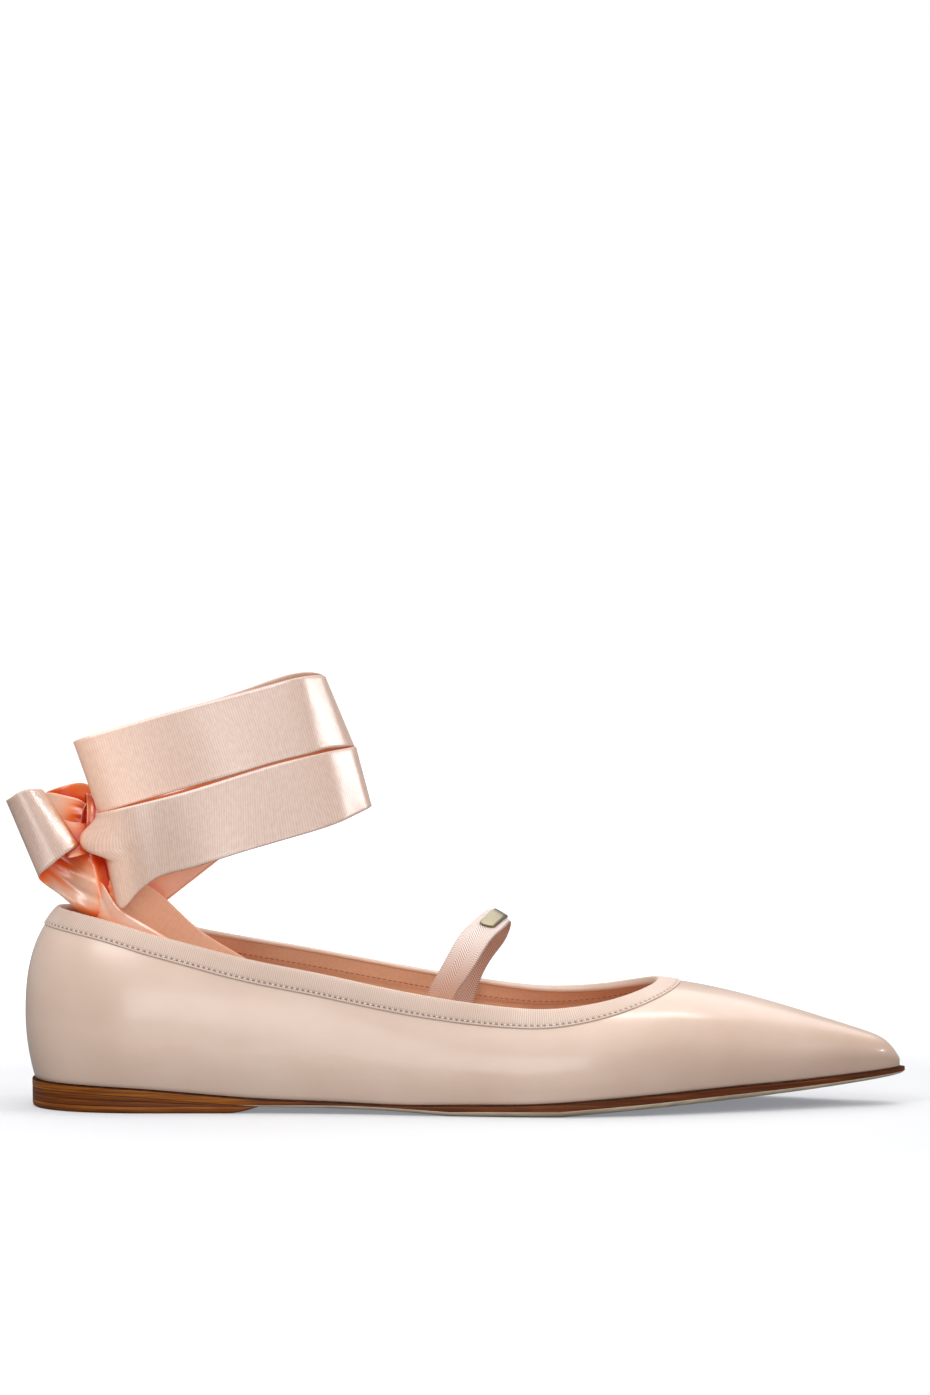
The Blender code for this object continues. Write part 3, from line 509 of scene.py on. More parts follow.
def upper_columns(fan, quarter, vamp, quarter_crowding=1.8, vamp_crowding=1.6):
    """Angle and station of the upper's columns, closer together at the throat's end and at the tip."""
    back = 1.0 - (1.0 - np.arange(quarter) / quarter) ** quarter_crowding
    front = 1.0 - (1.0 - np.arange(vamp + 1) / vamp) ** vamp_crowding
    tip = SOLE_TIP - INSET_AT_TIP * FEATHER_INSET
    angle = np.concatenate([FAN_END * np.arange(fan) / fan, np.full(quarter + vamp + 1, FAN_END)])
    station = np.concatenate([np.full(fan, FAN_AXIS), FAN_AXIS + (THROAT - FAN_AXIS) * back,
                              THROAT + (tip - THROAT) * front])
    return angle, station


def last_level(points):
    """One on the last's surface, less inside it and more outside, and without an end past its tip."""
    station = points[:, 0] + HEEL_TO_ORIGIN
    fan = station < FAN_AXIS
    back = np.maximum(FAN_AXIS - station, 0.0)
    angle = np.where(fan, np.arctan2(np.abs(points[:, 1]), back + 1e-9), FAN_END)
    section = last_section(angle, np.maximum(station, FAN_AXIS))
    lean = (points[:, 2] - section.feather_z) / (section.crown_z - section.feather_z)
    axis = section.axis + (section.crown_axis - section.axis) * lean
    radius = np.where(fan, np.hypot(points[:, 1], back), np.abs(points[:, 1] - axis))
    rise = np.clip((points[:, 2] - section.widest_z) / (section.crown_z - section.widest_z), 0.0, None)
    with np.errstate(divide="ignore", invalid="ignore"):
        low = radius / section_radius(section, points[:, 2])
        high = ((radius / section.widest_r) ** section.power + rise ** section.power) ** (1.0 / section.power)
    return np.where(points[:, 2] <= section.widest_z, low, high)


def last_slope(points, probe=0.02):
    """How fast the level grows along each axis at points of the last's surface."""
    return np.stack([(last_level(points + s) - last_level(points - s)) / (2.0 * probe)
                     for s in np.eye(3) * probe], axis=1)


def last_normal(points):
    """Directions out of the last's surface."""
    slope = last_slope(points)
    return slope / np.linalg.norm(slope, axis=1, keepdims=True)


def onto_last(points, offset=0.0, tries=4):
    """The nearest points of the last's surface, moved out by an offset."""
    points = np.array(points, float)
    for _ in range(tries):
        slope = last_slope(points)
        gap = (last_level(points) - 1.0) / (slope ** 2).sum(axis=1)
        points = points - gap[:, None] * slope
    return points + np.reshape(offset, (-1, 1)) * last_normal(points)


# Smooth calf with an aniline finish: drum dyed pale pink-beige, sealed and polished, so it has a fine pore,
# a slight waviness where it was pulled, and a soft gloss. Its colour drifts over about 30 mm, and towards the
# toe it is painted a little darker, as painted shade.
TOE_SHADE_START, TOE_SHADE_END = 0.125, 0.190
STEADIED_COLUMNS = 3
PORE_MM, PULL_MM, PULL_SHAPE = 0.35, 9.0, (0.6, 1.0, 1.5)
calf, tree, shader = new_finish("aniline_calf", Roughness=0.38, IOR=1.48, Coat_Weight=0.4,
                                Coat_Roughness=0.15, Subsurface_Weight=0.06,
                                Subsurface_Radius=(0.0022, 0.0011, 0.0007))
place = node(tree, "ShaderNodeTexCoord").outputs["Object"]
cloud = node(tree, "ShaderNodeTexNoise", {"Vector": place, "Scale": 34.0, "Detail": 3.0, "Roughness": 0.5})
base_colour = node(tree, "ShaderNodeValToRGB", {0: cloud.outputs[0]},
            stops=[(0.3, "#d0b5a3"), (0.55, "#d6bcab"), (0.75, "#d9c2b2")])
# Painted shade: the same colours a little darker, mixed in towards the toe.
painted_toe_shade = node(tree, "ShaderNodeValToRGB", {0: cloud.outputs[0]},
              stops=[(0.3, "#c0a492"), (0.55, "#c8ad9c"), (0.75, "#cdb4a4")])
apart = node(tree, "ShaderNodeSeparateXYZ", {0: place})
toe_shade_mask = node(tree, "ShaderNodeMapRange", {0: apart.outputs["X"], 1: TOE_SHADE_START, 2: TOE_SHADE_END})
calf_with_toe_shade = node(tree, "ShaderNodeMix", {0: toe_shade_mask.outputs[0], 6: base_colour.outputs[0], 7: painted_toe_shade.outputs[0]},
             data_type="RGBA")
tree.links.new(calf_with_toe_shade.outputs[2], shader.inputs["Base Color"])
pore = node(tree, "ShaderNodeTexVoronoi", {"Vector": place, "Scale": 1000.0 / PORE_MM})
pull = node(tree, "ShaderNodeMapping", {0: place, 3: PULL_SHAPE})
wave = node(tree, "ShaderNodeTexNoise", {"Vector": pull.outputs[0], "Scale": 1000.0 / PULL_MM, "Detail": 2.5})
fine = node(tree, "ShaderNodeBump", {"Strength": 0.12, "Distance": 0.00005,
                                     "Height": pore.outputs["Distance"]})
bump = node(tree, "ShaderNodeBump", {"Strength": 0.22, "Distance": 0.0006, "Height": wave.outputs[0],
                                     "Normal": fine.outputs[0]})
tree.links.new(bump.outputs[0], shader.inputs["Normal"])
gloss = node(tree, "ShaderNodeMapRange", {0: cloud.outputs[0], 1: 0.3, 2: 0.7, 3: 0.3, 4: 0.38})
tree.links.new(gloss.outputs[0], shader.inputs["Roughness"])


def wall_normals(paths):
    """Directions out of the wall at each point of the paths, steadied at the toe's closed end."""
    flat = last_normal(paths.reshape(-1, 3)).reshape(paths.shape)
    good = np.isfinite(flat).all(axis=(1, 2))
    good[-STEADIED_COLUMNS:] = False
    last_good = int(np.nonzero(good)[0][-1])
    flat[last_good + 1:] = flat[last_good]
    end = flat[-1]
    end[:, 1] = 0.0
    flat[-1] = end / np.linalg.norm(end, axis=1, keepdims=True)
    return flat


def lasted_wall(name, columns, below, above, outer, inner, tuck, finish):
    """A wall that follows the last between two depths, open along the topline and closed round its lower
    edge. Below and above count its rows on either side of the widest line, and the tuck rounds its foot."""
    angle, station = columns
    points, faces = [], []
    first = 0
    for side in (LATERAL, MEDIAL):
        paths = section_paths(last_section(angle, station), side, below, above)
        normals = wall_normals(paths)
        outside = paths - normals * outer(paths)[..., None]
        inside = paths - normals * inner(paths)[..., None]
        foot, inner_foot = outside[:, :1], inside[:, :1]
        inward = inner_foot - foot
        margin = [foot + inward * share + np.array((0.0, 0.0, -drop)) for share, drop in tuck]
        rim = np.concatenate([foot, *margin, inner_foot], axis=1)
        open_columns = int((station < THROAT).sum())
        edge = np.concatenate([outside[:, -1:], inside[:, -1:]], axis=1)[:open_columns + 1]
        flip = side > 0.0
        for part, turned in ((outside, flip), (inside, not flip), (rim, not flip), (edge, flip)):
            faces.append(grid(part.shape[0], part.shape[1], first, flip=turned))
            points.append(part.reshape(-1, 3))
            first += len(points[-1])
    piece = build(name, np.vstack(points), np.vstack(faces), [finish])
    tidy(piece)
    return piece


SEAM_DEPTH, SEAM_HALF_WIDTH, SEAM_AHEAD_OF_BACK = 0.16, 0.45, 6.0


def back_seam(paths):
    """Depth of the closed seam's valley down the back of the heel."""
    at_back = paths[..., 0] < SEAM_AHEAD_OF_BACK - HEEL_TO_ORIGIN
    return np.where(at_back, SEAM_DEPTH * np.exp(-(paths[..., 1] / SEAM_HALF_WIDTH) ** 2), 0.0)


def even_depth(depth):
    """The same depth all over a wall."""
    return lambda paths: np.full(paths.shape[:2], depth)


calf_upper = lasted_wall("calf_upper", upper_columns(fan=44, quarter=150, vamp=120), below=12, above=34,
                         outer=back_seam, inner=even_depth(CALF_THICKNESS),
                         tuck=[(0.1, 0.1), (0.35, 0.22), (0.8, 0.27)], finish=calf)
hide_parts("upper")
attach(calf_upper, "root")


# Lining: thin tan kid, cemented inside the calf and turned over the tape's hidden half, which shows as a low
# step along the top.

# Drum-dyed kid, buffed on its face: matte tan, with a soft nap of about 0.7 mm and cloudy over 25 mm.
lining_kid, tree, shader = new_finish("lining_kid", Roughness=0.6, IOR=1.45, Sheen_Weight=0.15,
                                      Sheen_Roughness=0.5)
place = node(tree, "ShaderNodeTexCoord").outputs["Object"]
nap = node(tree, "ShaderNodeTexNoise", {"Vector": place, "Scale": 1500.0, "Detail": 4.0, "Roughness": 0.65})
cloud = node(tree, "ShaderNodeTexNoise", {"Vector": place, "Scale": 40.0, "Detail": 3.0})
mottle = node(tree, "ShaderNodeMath", {0: nap.outputs[0], 1: cloud.outputs[0]}, operation="ADD")
half_mottle = node(tree, "ShaderNodeMath", {0: mottle.outputs[0], 1: 0.5}, operation="MULTIPLY")
tanned = node(tree, "ShaderNodeValToRGB", {0: half_mottle.outputs[0]},
              stops=[(0.32, "#cb9877"), (0.5, "#d6a686"), (0.68, "#dfb391")])
tree.links.new(tanned.outputs[0], shader.inputs["Base Color"])
bump = node(tree, "ShaderNodeBump", {"Strength": 0.25, "Distance": 0.0001, "Height": nap.outputs[0]})
tree.links.new(bump.outputs[0], shader.inputs["Normal"])


def topline_line():
    """The upper's edge once round the opening: throat, lateral side, heel, medial side."""
    angle, station = upper_columns(fan=60, quarter=500, vamp=1)
    section = last_section(angle[:-1], station[:-1])
    edges = [section_paths(section, side, below=1, above=1)[:, -1] for side in (LATERAL, MEDIAL)]
    return np.vstack([edges[0][::-1], edges[1][1:-1]])


edge_line = topline_line()
edge_tree = KDTree(len(edge_line))
for index, point in enumerate(edge_line):
    edge_tree.insert(point, index)
edge_tree.balance()


def edge_distance(points):
    """How far each point is from the topline."""
    flat = points.reshape(-1, 3)
    near = np.array([edge_tree.find(p)[2] for p in flat])
    return near.reshape(points.shape[:-1])


GLUE_LINE = 0.03
LINING_FACE, TAPE_STEP, STEP_FROM, STEP_TO = 1.6, 0.45, 5.2, 6.4


def lining_face(paths):
    """Depth of the lining's inner face, which stands off where the tape lies behind it."""
    return LINING_FACE + TAPE_STEP * (1.0 - ease(edge_distance(paths), STEP_FROM, STEP_TO))


kid_lining = lasted_wall("kid_lining", upper_columns(fan=36, quarter=130, vamp=70), below=8, above=34,
                         outer=even_depth(CALF_THICKNESS + GLUE_LINE), inner=lining_face, tuck=[(0.5, 0.1)],
                         finish=lining_kid)
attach(kid_lining, "root")


# Sock: the same tan kid over a thin foam, covering the insole board from heel to toe. Its edge curls up a
# little where it meets the lining.

# Drum-dyed kid, plated smooth: tan and a little less matte than the lining, with 0.7 mm pores. Its colour
# drifts over about 33 mm, and the foam under it gives soft hollows some 17 mm across.
sock_kid, tree, shader = new_finish("sock_kid", Roughness=0.55, IOR=1.45, Sheen_Weight=0.1)
place = node(tree, "ShaderNodeTexCoord").outputs["Object"]
pore = node(tree, "ShaderNodeTexVoronoi", {"Vector": place, "Scale": 1400.0})
cloud = node(tree, "ShaderNodeTexNoise", {"Vector": place, "Scale": 30.0, "Detail": 4.0})
tanned = node(tree, "ShaderNodeValToRGB", {0: cloud.outputs[0]},
              stops=[(0.32, "#c99474"), (0.5, "#d5a07f"), (0.7, "#ddac8c")])
tree.links.new(tanned.outputs[0], shader.inputs["Base Color"])
soft = node(tree, "ShaderNodeTexNoise", {"Vector": place, "Scale": 60.0, "Detail": 2.0})
fine = node(tree, "ShaderNodeBump", {"Strength": 0.15, "Distance": 0.00008,
                                     "Height": pore.outputs["Distance"]})
bump = node(tree, "ShaderNodeBump", {"Strength": 0.25, "Distance": 0.0008, "Height": soft.outputs[0],
                                     "Normal": fine.outputs[0]})
tree.links.new(bump.outputs[0], shader.inputs["Normal"])

SOCK_TOP = 2.3
sock = layer("sock_lining", outline_columns(fan=30, straight=110), [
    (9.5, lambda s: sole_top(s) + SOCK_TOP - 0.1),
    (7.0, lambda s: sole_top(s) + SOCK_TOP - 0.06),
    (5.2, lambda s: sole_top(s) + SOCK_TOP),
    (3.6, lambda s: sole_top(s) + SOCK_TOP + 0.14),
    (2.5, lambda s: sole_top(s) + SOCK_TOP + 0.42),
    (2.15, lambda s: sole_top(s) + SOCK_TOP + 0.4),
    (2.0, lambda s: sole_top(s) + SOCK_TOP + 0.1),
    (2.0, lambda s: sole_top(s) + 0.05)], [sock_kid], [0] * 9, across=16)
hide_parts("insole")
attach(sock, "root")


# Topline: a grosgrain tape, cut 16 mm wide, is folded over the upper's edge. Its inner half lies hidden
# between calf and lining, and one row of stitches near its lower edge holds all three. Its ends meet at the
# heel's back.
BINDING_RIB, RIB_DEPTH = 0.62, 0.06
STITCH_PITCH, STITCH_DEPTH, INNER_STITCH_DEPTH = 1.65, 5.5, 4.7


def path_length(points):
    """Distance travelled from the first point of a line to each of them."""
    return np.concatenate([[0.0], np.cumsum(np.linalg.norm(np.diff(points, axis=0), axis=1))])


def spaced(ring, count):
    """Evenly spaced points round a fine closed line, and its length."""
    line = np.vstack([ring, ring[:1]])
    travel = path_length(line)
    at = np.linspace(0.0, travel[-1], count + 1)[:-1]
    return np.column_stack([np.interp(at, travel, line[:, k]) for k in range(3)]), travel[-1]


def topline_frame(count):
    """Evenly spaced points of the edge, the directions out of the wall and down it, and the edge's length."""
    ring, length = spaced(topline_line(), count)
    ring = onto_last(ring)
    along = np.roll(ring, -1, axis=0) - np.roll(ring, 1, axis=0)
    out = last_normal(ring)
    down = np.cross(out, along)
    return ring, out, down / np.linalg.norm(down, axis=1, keepdims=True), length


# Grosgrain: a polyester tape with a stout weft, so it has close ribs across its width and a faint silky
# sheen, and its colour drifts over about 18 mm. The valleys between the ribs and the needle holes along the
# stitching are painted darker, as painted shade. Real ribs are 0.5 mm apart and are drawn 0.62 mm apart so
# that they show.
grosgrain, tree, shader = new_finish("grosgrain_tape", Roughness=0.5, IOR=1.5, Sheen_Weight=0.35,
                                     Sheen_Roughness=0.35, Sheen_Tint=srgb("#fff1e8"))
needle_hole_shade = node(tree, "ShaderNodeAttribute", attribute_name="needle_hole_shade")
rib_valley_shade = node(tree, "ShaderNodeAttribute", attribute_name="rib")
place = node(tree, "ShaderNodeTexCoord").outputs["Object"]
cloud = node(tree, "ShaderNodeTexNoise", {"Vector": place, "Scale": 55.0, "Detail": 4.0})
thread = node(tree, "ShaderNodeValToRGB", {0: cloud.outputs[0]},
              stops=[(0.3, "#ccb5a5"), (0.55, "#d6c0b2"), (0.75, "#dccbbe")])
ribbed = node(tree, "ShaderNodeMix", {0: rib_valley_shade.outputs["Fac"], 6: thread.outputs[0], 7: srgb("#ac8f7e")},
              data_type="RGBA")
kid_side = node(tree, "ShaderNodeAttribute", attribute_name="kid_side")
edged = node(tree, "ShaderNodeMix", {0: kid_side.outputs["Fac"], 6: ribbed.outputs[2], 7: srgb("#c0957a")},
             data_type="RGBA")
with_hole_shade = node(tree, "ShaderNodeMix", {0: needle_hole_shade.outputs["Fac"], 6: edged.outputs[2], 7: srgb("#4a3228")},
               data_type="RGBA")
tree.links.new(with_hole_shade.outputs[2], shader.inputs["Base Color"])


def keep_attribute(piece, name, values):
    """Stores one number for each point of a piece."""
    stored = piece.data.attributes.new(name, "FLOAT", "POINT")
    stored.data.foreach_set("value", np.asarray(values, np.float32))


def keep_vectors(piece, name, values):
    """Stores one direction for each point of a piece."""
    stored = piece.data.attributes.new(name, "FLOAT_VECTOR", "POINT")
    stored.data.foreach_set("vector", np.asarray(values, np.float32).ravel())


def new_tree(name, **inputs):
    """A Geometry Nodes tree with a geometry and named sizes going in and a geometry coming out."""
    tree = bpy.data.node_groups.new(name, "GeometryNodeTree")
    tree.interface.new_socket("Geometry", in_out="INPUT", socket_type="NodeSocketGeometry")
    for key, value in inputs.items():
        kind = "NodeSocketMaterial" if value is None else "NodeSocketFloat"
        socket = tree.interface.new_socket(key, in_out="INPUT", socket_type=kind)
        if value is not None:
            socket.default_value = value
    tree.interface.new_socket("Geometry", in_out="OUTPUT", socket_type="NodeSocketGeometry")
    entry = node(tree, "NodeGroupInput")
    return tree, entry.outputs


def end_tree(tree, geometry, material):
    """Closes a tree: real geometry with its finish."""
    real = node(tree, "GeometryNodeRealizeInstances", {0: geometry})
    clothed = node(tree, "GeometryNodeSetMaterial", {"Geometry": real.outputs[0], "Material": material})
    rounded = node(tree, "GeometryNodeSetShadeSmooth", {0: clothed.outputs[0]})
    node(tree, "NodeGroupOutput", {0: rounded.outputs[0]})


def grow(piece, tree, **values):
    """Runs a tree on a piece with the given sizes and keeps the result as the piece's plain mesh."""
    run = piece.modifiers.new(tree.name, "NODES")
    run.node_group = tree
    for item in tree.interface.items_tree:
        if item.in_out == "INPUT" and item.name in values:
            run[item.identifier] = values[item.name]
    seen = piece.evaluated_get(bpy.context.evaluated_depsgraph_get())
    mesh = bpy.data.meshes.new_from_object(seen)
    piece.modifiers.clear()
    piece.data = mesh
    mesh.name = piece.name
    return piece


# Cross ribs: each point moves along its direction by a wave of its travel along the tape.
ribs_tree, entry = new_tree("cross_ribs", Pitch=BINDING_RIB, Depth=RIB_DEPTH, Finish=None)
travel = node(ribs_tree, "GeometryNodeInputNamedAttribute", {"Name": "travel"}, data_type="FLOAT")
proud = node(ribs_tree, "GeometryNodeInputNamedAttribute", {"Name": "proud"}, data_type="FLOAT_VECTOR")
turns = node(ribs_tree, "ShaderNodeMath", {0: travel.outputs[0], 1: entry["Pitch"]}, operation="DIVIDE")
phase = node(ribs_tree, "ShaderNodeMath", {0: turns.outputs[0], 1: math.tau}, operation="MULTIPLY")
wave = node(ribs_tree, "ShaderNodeMath", {0: phase.outputs[0]}, operation="COSINE")
lift_mm = node(ribs_tree, "ShaderNodeMath", {0: wave.outputs[0], 1: entry["Depth"]}, operation="MULTIPLY")
lift_m = node(ribs_tree, "ShaderNodeMath", {0: lift_mm.outputs[0], 1: MM}, operation="MULTIPLY")
shift = node(ribs_tree, "ShaderNodeVectorMath", {0: proud.outputs[0], "Scale": lift_m.outputs[0]},
             operation="SCALE")
moved = node(ribs_tree, "GeometryNodeSetPosition", {"Geometry": entry["Geometry"],
                                                    "Offset": shift.outputs[0]})
end_tree(ribs_tree, moved.outputs[0], entry["Finish"])

# Stitches: one small rounded thread on each point, lying along the seam and facing out.
stitch_tree, entry = new_tree("stitches", Length=0.9, Width=0.4, Height=0.3, Finish=None)
thread_ball = node(stitch_tree, "GeometryNodeMeshUVSphere", {"Segments": 8, "Rings": 6, "Radius": 0.5 * MM})
thread_size = node(stitch_tree, "ShaderNodeCombineXYZ", {0: entry["Length"], 1: entry["Width"],
                                                         2: entry["Height"]})
thread_shape = node(stitch_tree, "GeometryNodeTransform", {"Geometry": thread_ball.outputs[0],
                                                           "Scale": thread_size.outputs[0]})
seam = node(stitch_tree, "GeometryNodeInputNamedAttribute", {"Name": "seam"}, data_type="FLOAT_VECTOR")
outward = node(stitch_tree, "GeometryNodeInputNamedAttribute", {"Name": "proud"}, data_type="FLOAT_VECTOR")
laid = node(stitch_tree, "FunctionNodeAlignRotationToVector", {"Vector": seam.outputs[0]}, axis="X")
facing = node(stitch_tree, "FunctionNodeAlignRotationToVector", {"Rotation": laid.outputs[0],
                                                                 "Vector": outward.outputs[0]},
              axis="Z", pivot_axis="X")
sewn = node(stitch_tree, "GeometryNodeInstanceOnPoints", {"Points": entry["Geometry"],
                                                          "Instance": thread_shape.outputs[0],
                                                          "Rotation": facing.outputs[0]})
end_tree(stitch_tree, sewn.outputs[0], entry["Finish"])


def tube(columns, rows, closed=False, flip=False):
    """Quads of a tube whose points are numbered ring by ring. A closed tube meets its own start."""
    base = np.arange(columns if closed else columns - 1) * rows
    following = (base + rows) % (columns * rows)
    sides = []
    for j in range(rows):
        k = (j + 1) % rows
        a, b, c, d = base + j, following + j, following + k, base + k
        sides.append(np.column_stack([a, d, c, b] if flip else [a, b, c, d]))
    return np.vstack(sides)


# The tape's closed section: depth down the wall and distance out of it, from the outer edge over the fold.
Tape = namedtuple("Tape", "depth out ribbed")
TAPE = [
    Tape(6.36, 0.02, 0.0), Tape(6.42, 0.2, 0.3), Tape(6.3, 0.38, 0.8), Tape(6.1, 0.45, 1.0),
    Tape(5.84, 0.42, 1.0), Tape(STITCH_DEPTH, 0.33, 0.7), Tape(5.16, 0.41, 1.0), Tape(4.6, 0.46, 1.0),
    Tape(3.2, 0.48, 1.0), Tape(2.0, 0.48, 1.0), Tape(0.9, 0.47, 1.0), Tape(0.15, 0.42, 1.0),
    Tape(-0.25, 0.28, 1.0), Tape(-0.48, -0.02, 1.0), Tape(-0.58, -0.45, 0.8), Tape(-0.58, -1.0, 0.6),
    Tape(-0.5, -1.5, 0.4), Tape(-0.28, -1.92, 0.2), Tape(-0.04, -2.14, 0.1), Tape(0.24, -2.2, 0.0),
    Tape(0.42, -2.06, 0.0), Tape(0.2, -1.9, 0.0), Tape(-0.1, -1.66, 0.0), Tape(-0.12, -0.8, 0.0),
    Tape(-0.1, 0.0, 0.0), Tape(2.5, 0.02, 0.0),
]
RIB_STEPS, RIB_SHADE = 3, 0.8
OUTER_ROWS = 12
HOLE_DEPTH, HOLE_HALF_LENGTH, HOLE_HALF_HEIGHT = 0.22, 0.46, 0.2
KID_SIDE_FROM, KID_SIDE_TO = 1.2, 2.0
rib_count = round(spaced(topline_line(), 1)[1] / BINDING_RIB)
ring, out, down, tape_length = topline_frame(rib_count * RIB_STEPS)
columns = len(ring)
travel = np.arange(columns) * tape_length / columns
# Painted shade: the tape's colour is darkened in the rib valleys and in the needle holes.
rib_shade = RIB_SHADE * np.clip(0.5 - 0.5 * np.cos(math.tau * travel * rib_count / tape_length), 0.0, 1.0)
stitch_count = round(tape_length / STITCH_PITCH)
stitch_step = tape_length / stitch_count
from_hole = ((travel / stitch_step) % 1.0 - 0.5) * stitch_step
hole_share = np.exp(-(from_hole / HOLE_HALF_LENGTH) ** 4)
points, prouds, needles, ribs, kid_sides = [], [], [], [], []
for k, row in enumerate(TAPE):
    off_seam = (row.depth - STITCH_DEPTH) / HOLE_HALF_HEIGHT
    needles.append(hole_share * math.exp(-off_seam ** 2) if k < OUTER_ROWS else np.zeros(columns))
    kid_sides.append(np.full(columns, ease(-row.out, KID_SIDE_FROM, KID_SIDE_TO) if k > OUTER_ROWS else 0.0))
    ribs.append(row.ribbed * rib_shade)
    place = ring + down * row.depth
    if row.depth > 0.0:
        points.append(onto_last(place, row.out - HOLE_DEPTH * needles[-1]))
    else:
        points.append(place + out * row.out)
    before, after = TAPE[k - 1], TAPE[(k + 1) % len(TAPE)]
    away = np.array((after.depth - before.depth, after.out - before.out))
    away /= np.linalg.norm(away)
    prouds.append((down * away[1] - out * away[0]) * row.ribbed)


def by_column(rows):
    """The rows of numbers in the order of the grid's points."""
    return np.stack(rows, axis=1).reshape(len(rows) * len(rows[0]), -1)


binding = build("grosgrain_binding", by_column(points), tube(columns, len(TAPE), closed=True, flip=True),
                [grosgrain])
keep_attribute(binding, "travel", np.repeat(travel, len(TAPE)))
keep_vectors(binding, "proud", by_column(prouds))
keep_attribute(binding, "needle_hole_shade", by_column(needles)[:, 0])
keep_attribute(binding, "rib", by_column(ribs)[:, 0])
keep_attribute(binding, "kid_side", by_column(kid_sides)[:, 0])
grow(binding, ribs_tree, Pitch=tape_length / rib_count, Depth=RIB_DEPTH, Finish=grosgrain)
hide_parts("topline_binding")
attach(binding, "root")

# Sewing thread: bonded nylon with a slight gloss, in the tape's own colour outside and tan on the kid.
sewing_thread = new_finish("sewing_thread", Roughness=0.38, IOR=1.53, Base_Color=srgb("#d9c7bb"))[0]
tan_thread = new_finish("tan_thread", Roughness=0.45, IOR=1.53, Base_Color=srgb("#a8694c"))[0]


def seam_row(name, count, depth, lift, finish, **sizes):
    """A row of stitches all round the opening at a depth below its edge."""
    ring, out, down, _ = topline_frame(count)
    spots = onto_last(ring + down * depth, lift)
    row = build(name, spots, np.zeros((0, 4), int), [])
    keep_vectors(row, "seam", np.roll(spots, -1, axis=0) - np.roll(spots, 1, axis=0))
    keep_vectors(row, "proud", out if lift > 0.0 else -out)
    grow(row, stitch_tree, Finish=finish, **sizes)
    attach(row, "root")


THREAD_ON_TAPE, THREAD_ON_KID = 0.38, -LINING_FACE - TAPE_STEP
seam_row("binding_stitches", stitch_count, STITCH_DEPTH, THREAD_ON_TAPE, sewing_thread, Length=0.9, Width=0.4,
         Height=0.3)
seam_row("lining_stitches", stitch_count, INNER_STITCH_DEPTH, THREAD_ON_KID, tan_thread, Length=1.35,
         Width=0.4, Height=0.3)


# Instep elastic: a woven herringbone elastic, sewn inside both walls and arched over the instep. It is 1 mm
# thick, with plain cords along both edges.
STRAP_THICKNESS, STRAP_ACROSS = 1.0, 43
STRAP_MIDDLE = STRAP_ACROSS // 2
Arch = namedtuple("Arch", "place back front across back_height front_height")
STRAP = [
    Arch("lateral end", 118.4, 125.4, -27.6, 25.0, 24.5),
    Arch("lateral topline", 119.4, 126.4, -26.0, 35.7, 34.8),
    Arch("lateral rise", 121.9, 129.6, -24.3, 40.8, 39.6),
    Arch("lateral slope", 125.4, 133.5, -20.5, 47.0, 45.4),
    Arch("lateral shoulder", 129.4, 137.5, -13.5, 52.8, 50.9),
    Arch("before the top", 133.6, 141.0, -7.0, 56.2, 53.6),
    Arch("top", 136.8, 143.0, -0.5, 58.3, 55.0),
    Arch("after the top", 137.2, 143.2, 5.5, 57.3, 53.4),
    Arch("medial slope", 134.2, 141.2, 13.5, 50.5, 47.8),
    Arch("medial rise", 130.0, 137.4, 20.5, 43.2, 42.0),
    Arch("medial topline", 127.0, 134.2, 24.3, 36.2, 35.6),
    Arch("medial end", 124.4, 131.0, 26.4, 26.0, 25.0),
]

# Elastic web: white rubber cores under pale pink polyester, woven in herringbone stripes 2.4 mm wide. It is
# matte, and its twill lines stand a little proud. Tan light off the lining colours its foot and inner face.
elastic_web, tree, shader = new_finish("herringbone_elastic", Roughness=0.58, IOR=1.5, Sheen_Weight=0.25,
                                       Sheen_Roughness=0.4)
twill = node(tree, "ShaderNodeAttribute", attribute_name="twill")
web = node(tree, "ShaderNodeValToRGB", {0: twill.outputs["Fac"]},
           stops=[(0.05, "#907061"), (0.45, "#cfbcb2"), (0.9, "#ece4e0")])
bounced = node(tree, "ShaderNodeAttribute", attribute_name="tan_light")
tinted = node(tree, "ShaderNodeMix", {0: bounced.outputs["Fac"], 6: web.outputs[0], 7: srgb("#a9683f")},
              data_type="RGBA")
tree.links.new(tinted.outputs[2], shader.inputs["Base Color"])

Cloth = namedtuple("Cloth", "points normals travel breadth length")


def fold_curves(rows, closed):
    """Curves through a strip's folds by distance along its middle, and where the strip starts and ends."""
    rows = np.array(rows, float)
    first, last = 0, len(rows) - 1
    if closed:
        first, last = 3, 3 + len(rows)
        rows = np.vstack([rows[-3:], rows, rows[:3]])
    middle = 0.5 * (rows[:, :3] + rows[:, 3:6])
    places = path_length(middle)
    return [smooth_curve(places, rows[:, k]) for k in range(rows.shape[1])], places[first], places[last]


def grid_normals(points, closed):
    """Directions square to a grid of points, the same way up all over."""
    if closed:
        along = np.roll(points, -1, axis=0) - np.roll(points, 1, axis=0)
    else:
        along = np.gradient(points, axis=0)
    normals = np.cross(along, np.gradient(points, axis=1))
    return normals / np.maximum(np.linalg.norm(normals, axis=2, keepdims=True), 1e-9)


LOBE_RISES, LOBE_ENDS = (0.0, 0.4), (0.44, 0.52)
FINE_PLEAT_RATE, FINE_PLEAT_SHARE = 2.3, 0.35
PLEAT_PHASE, FINE_PLEAT_PHASE = 0.6, 2.0


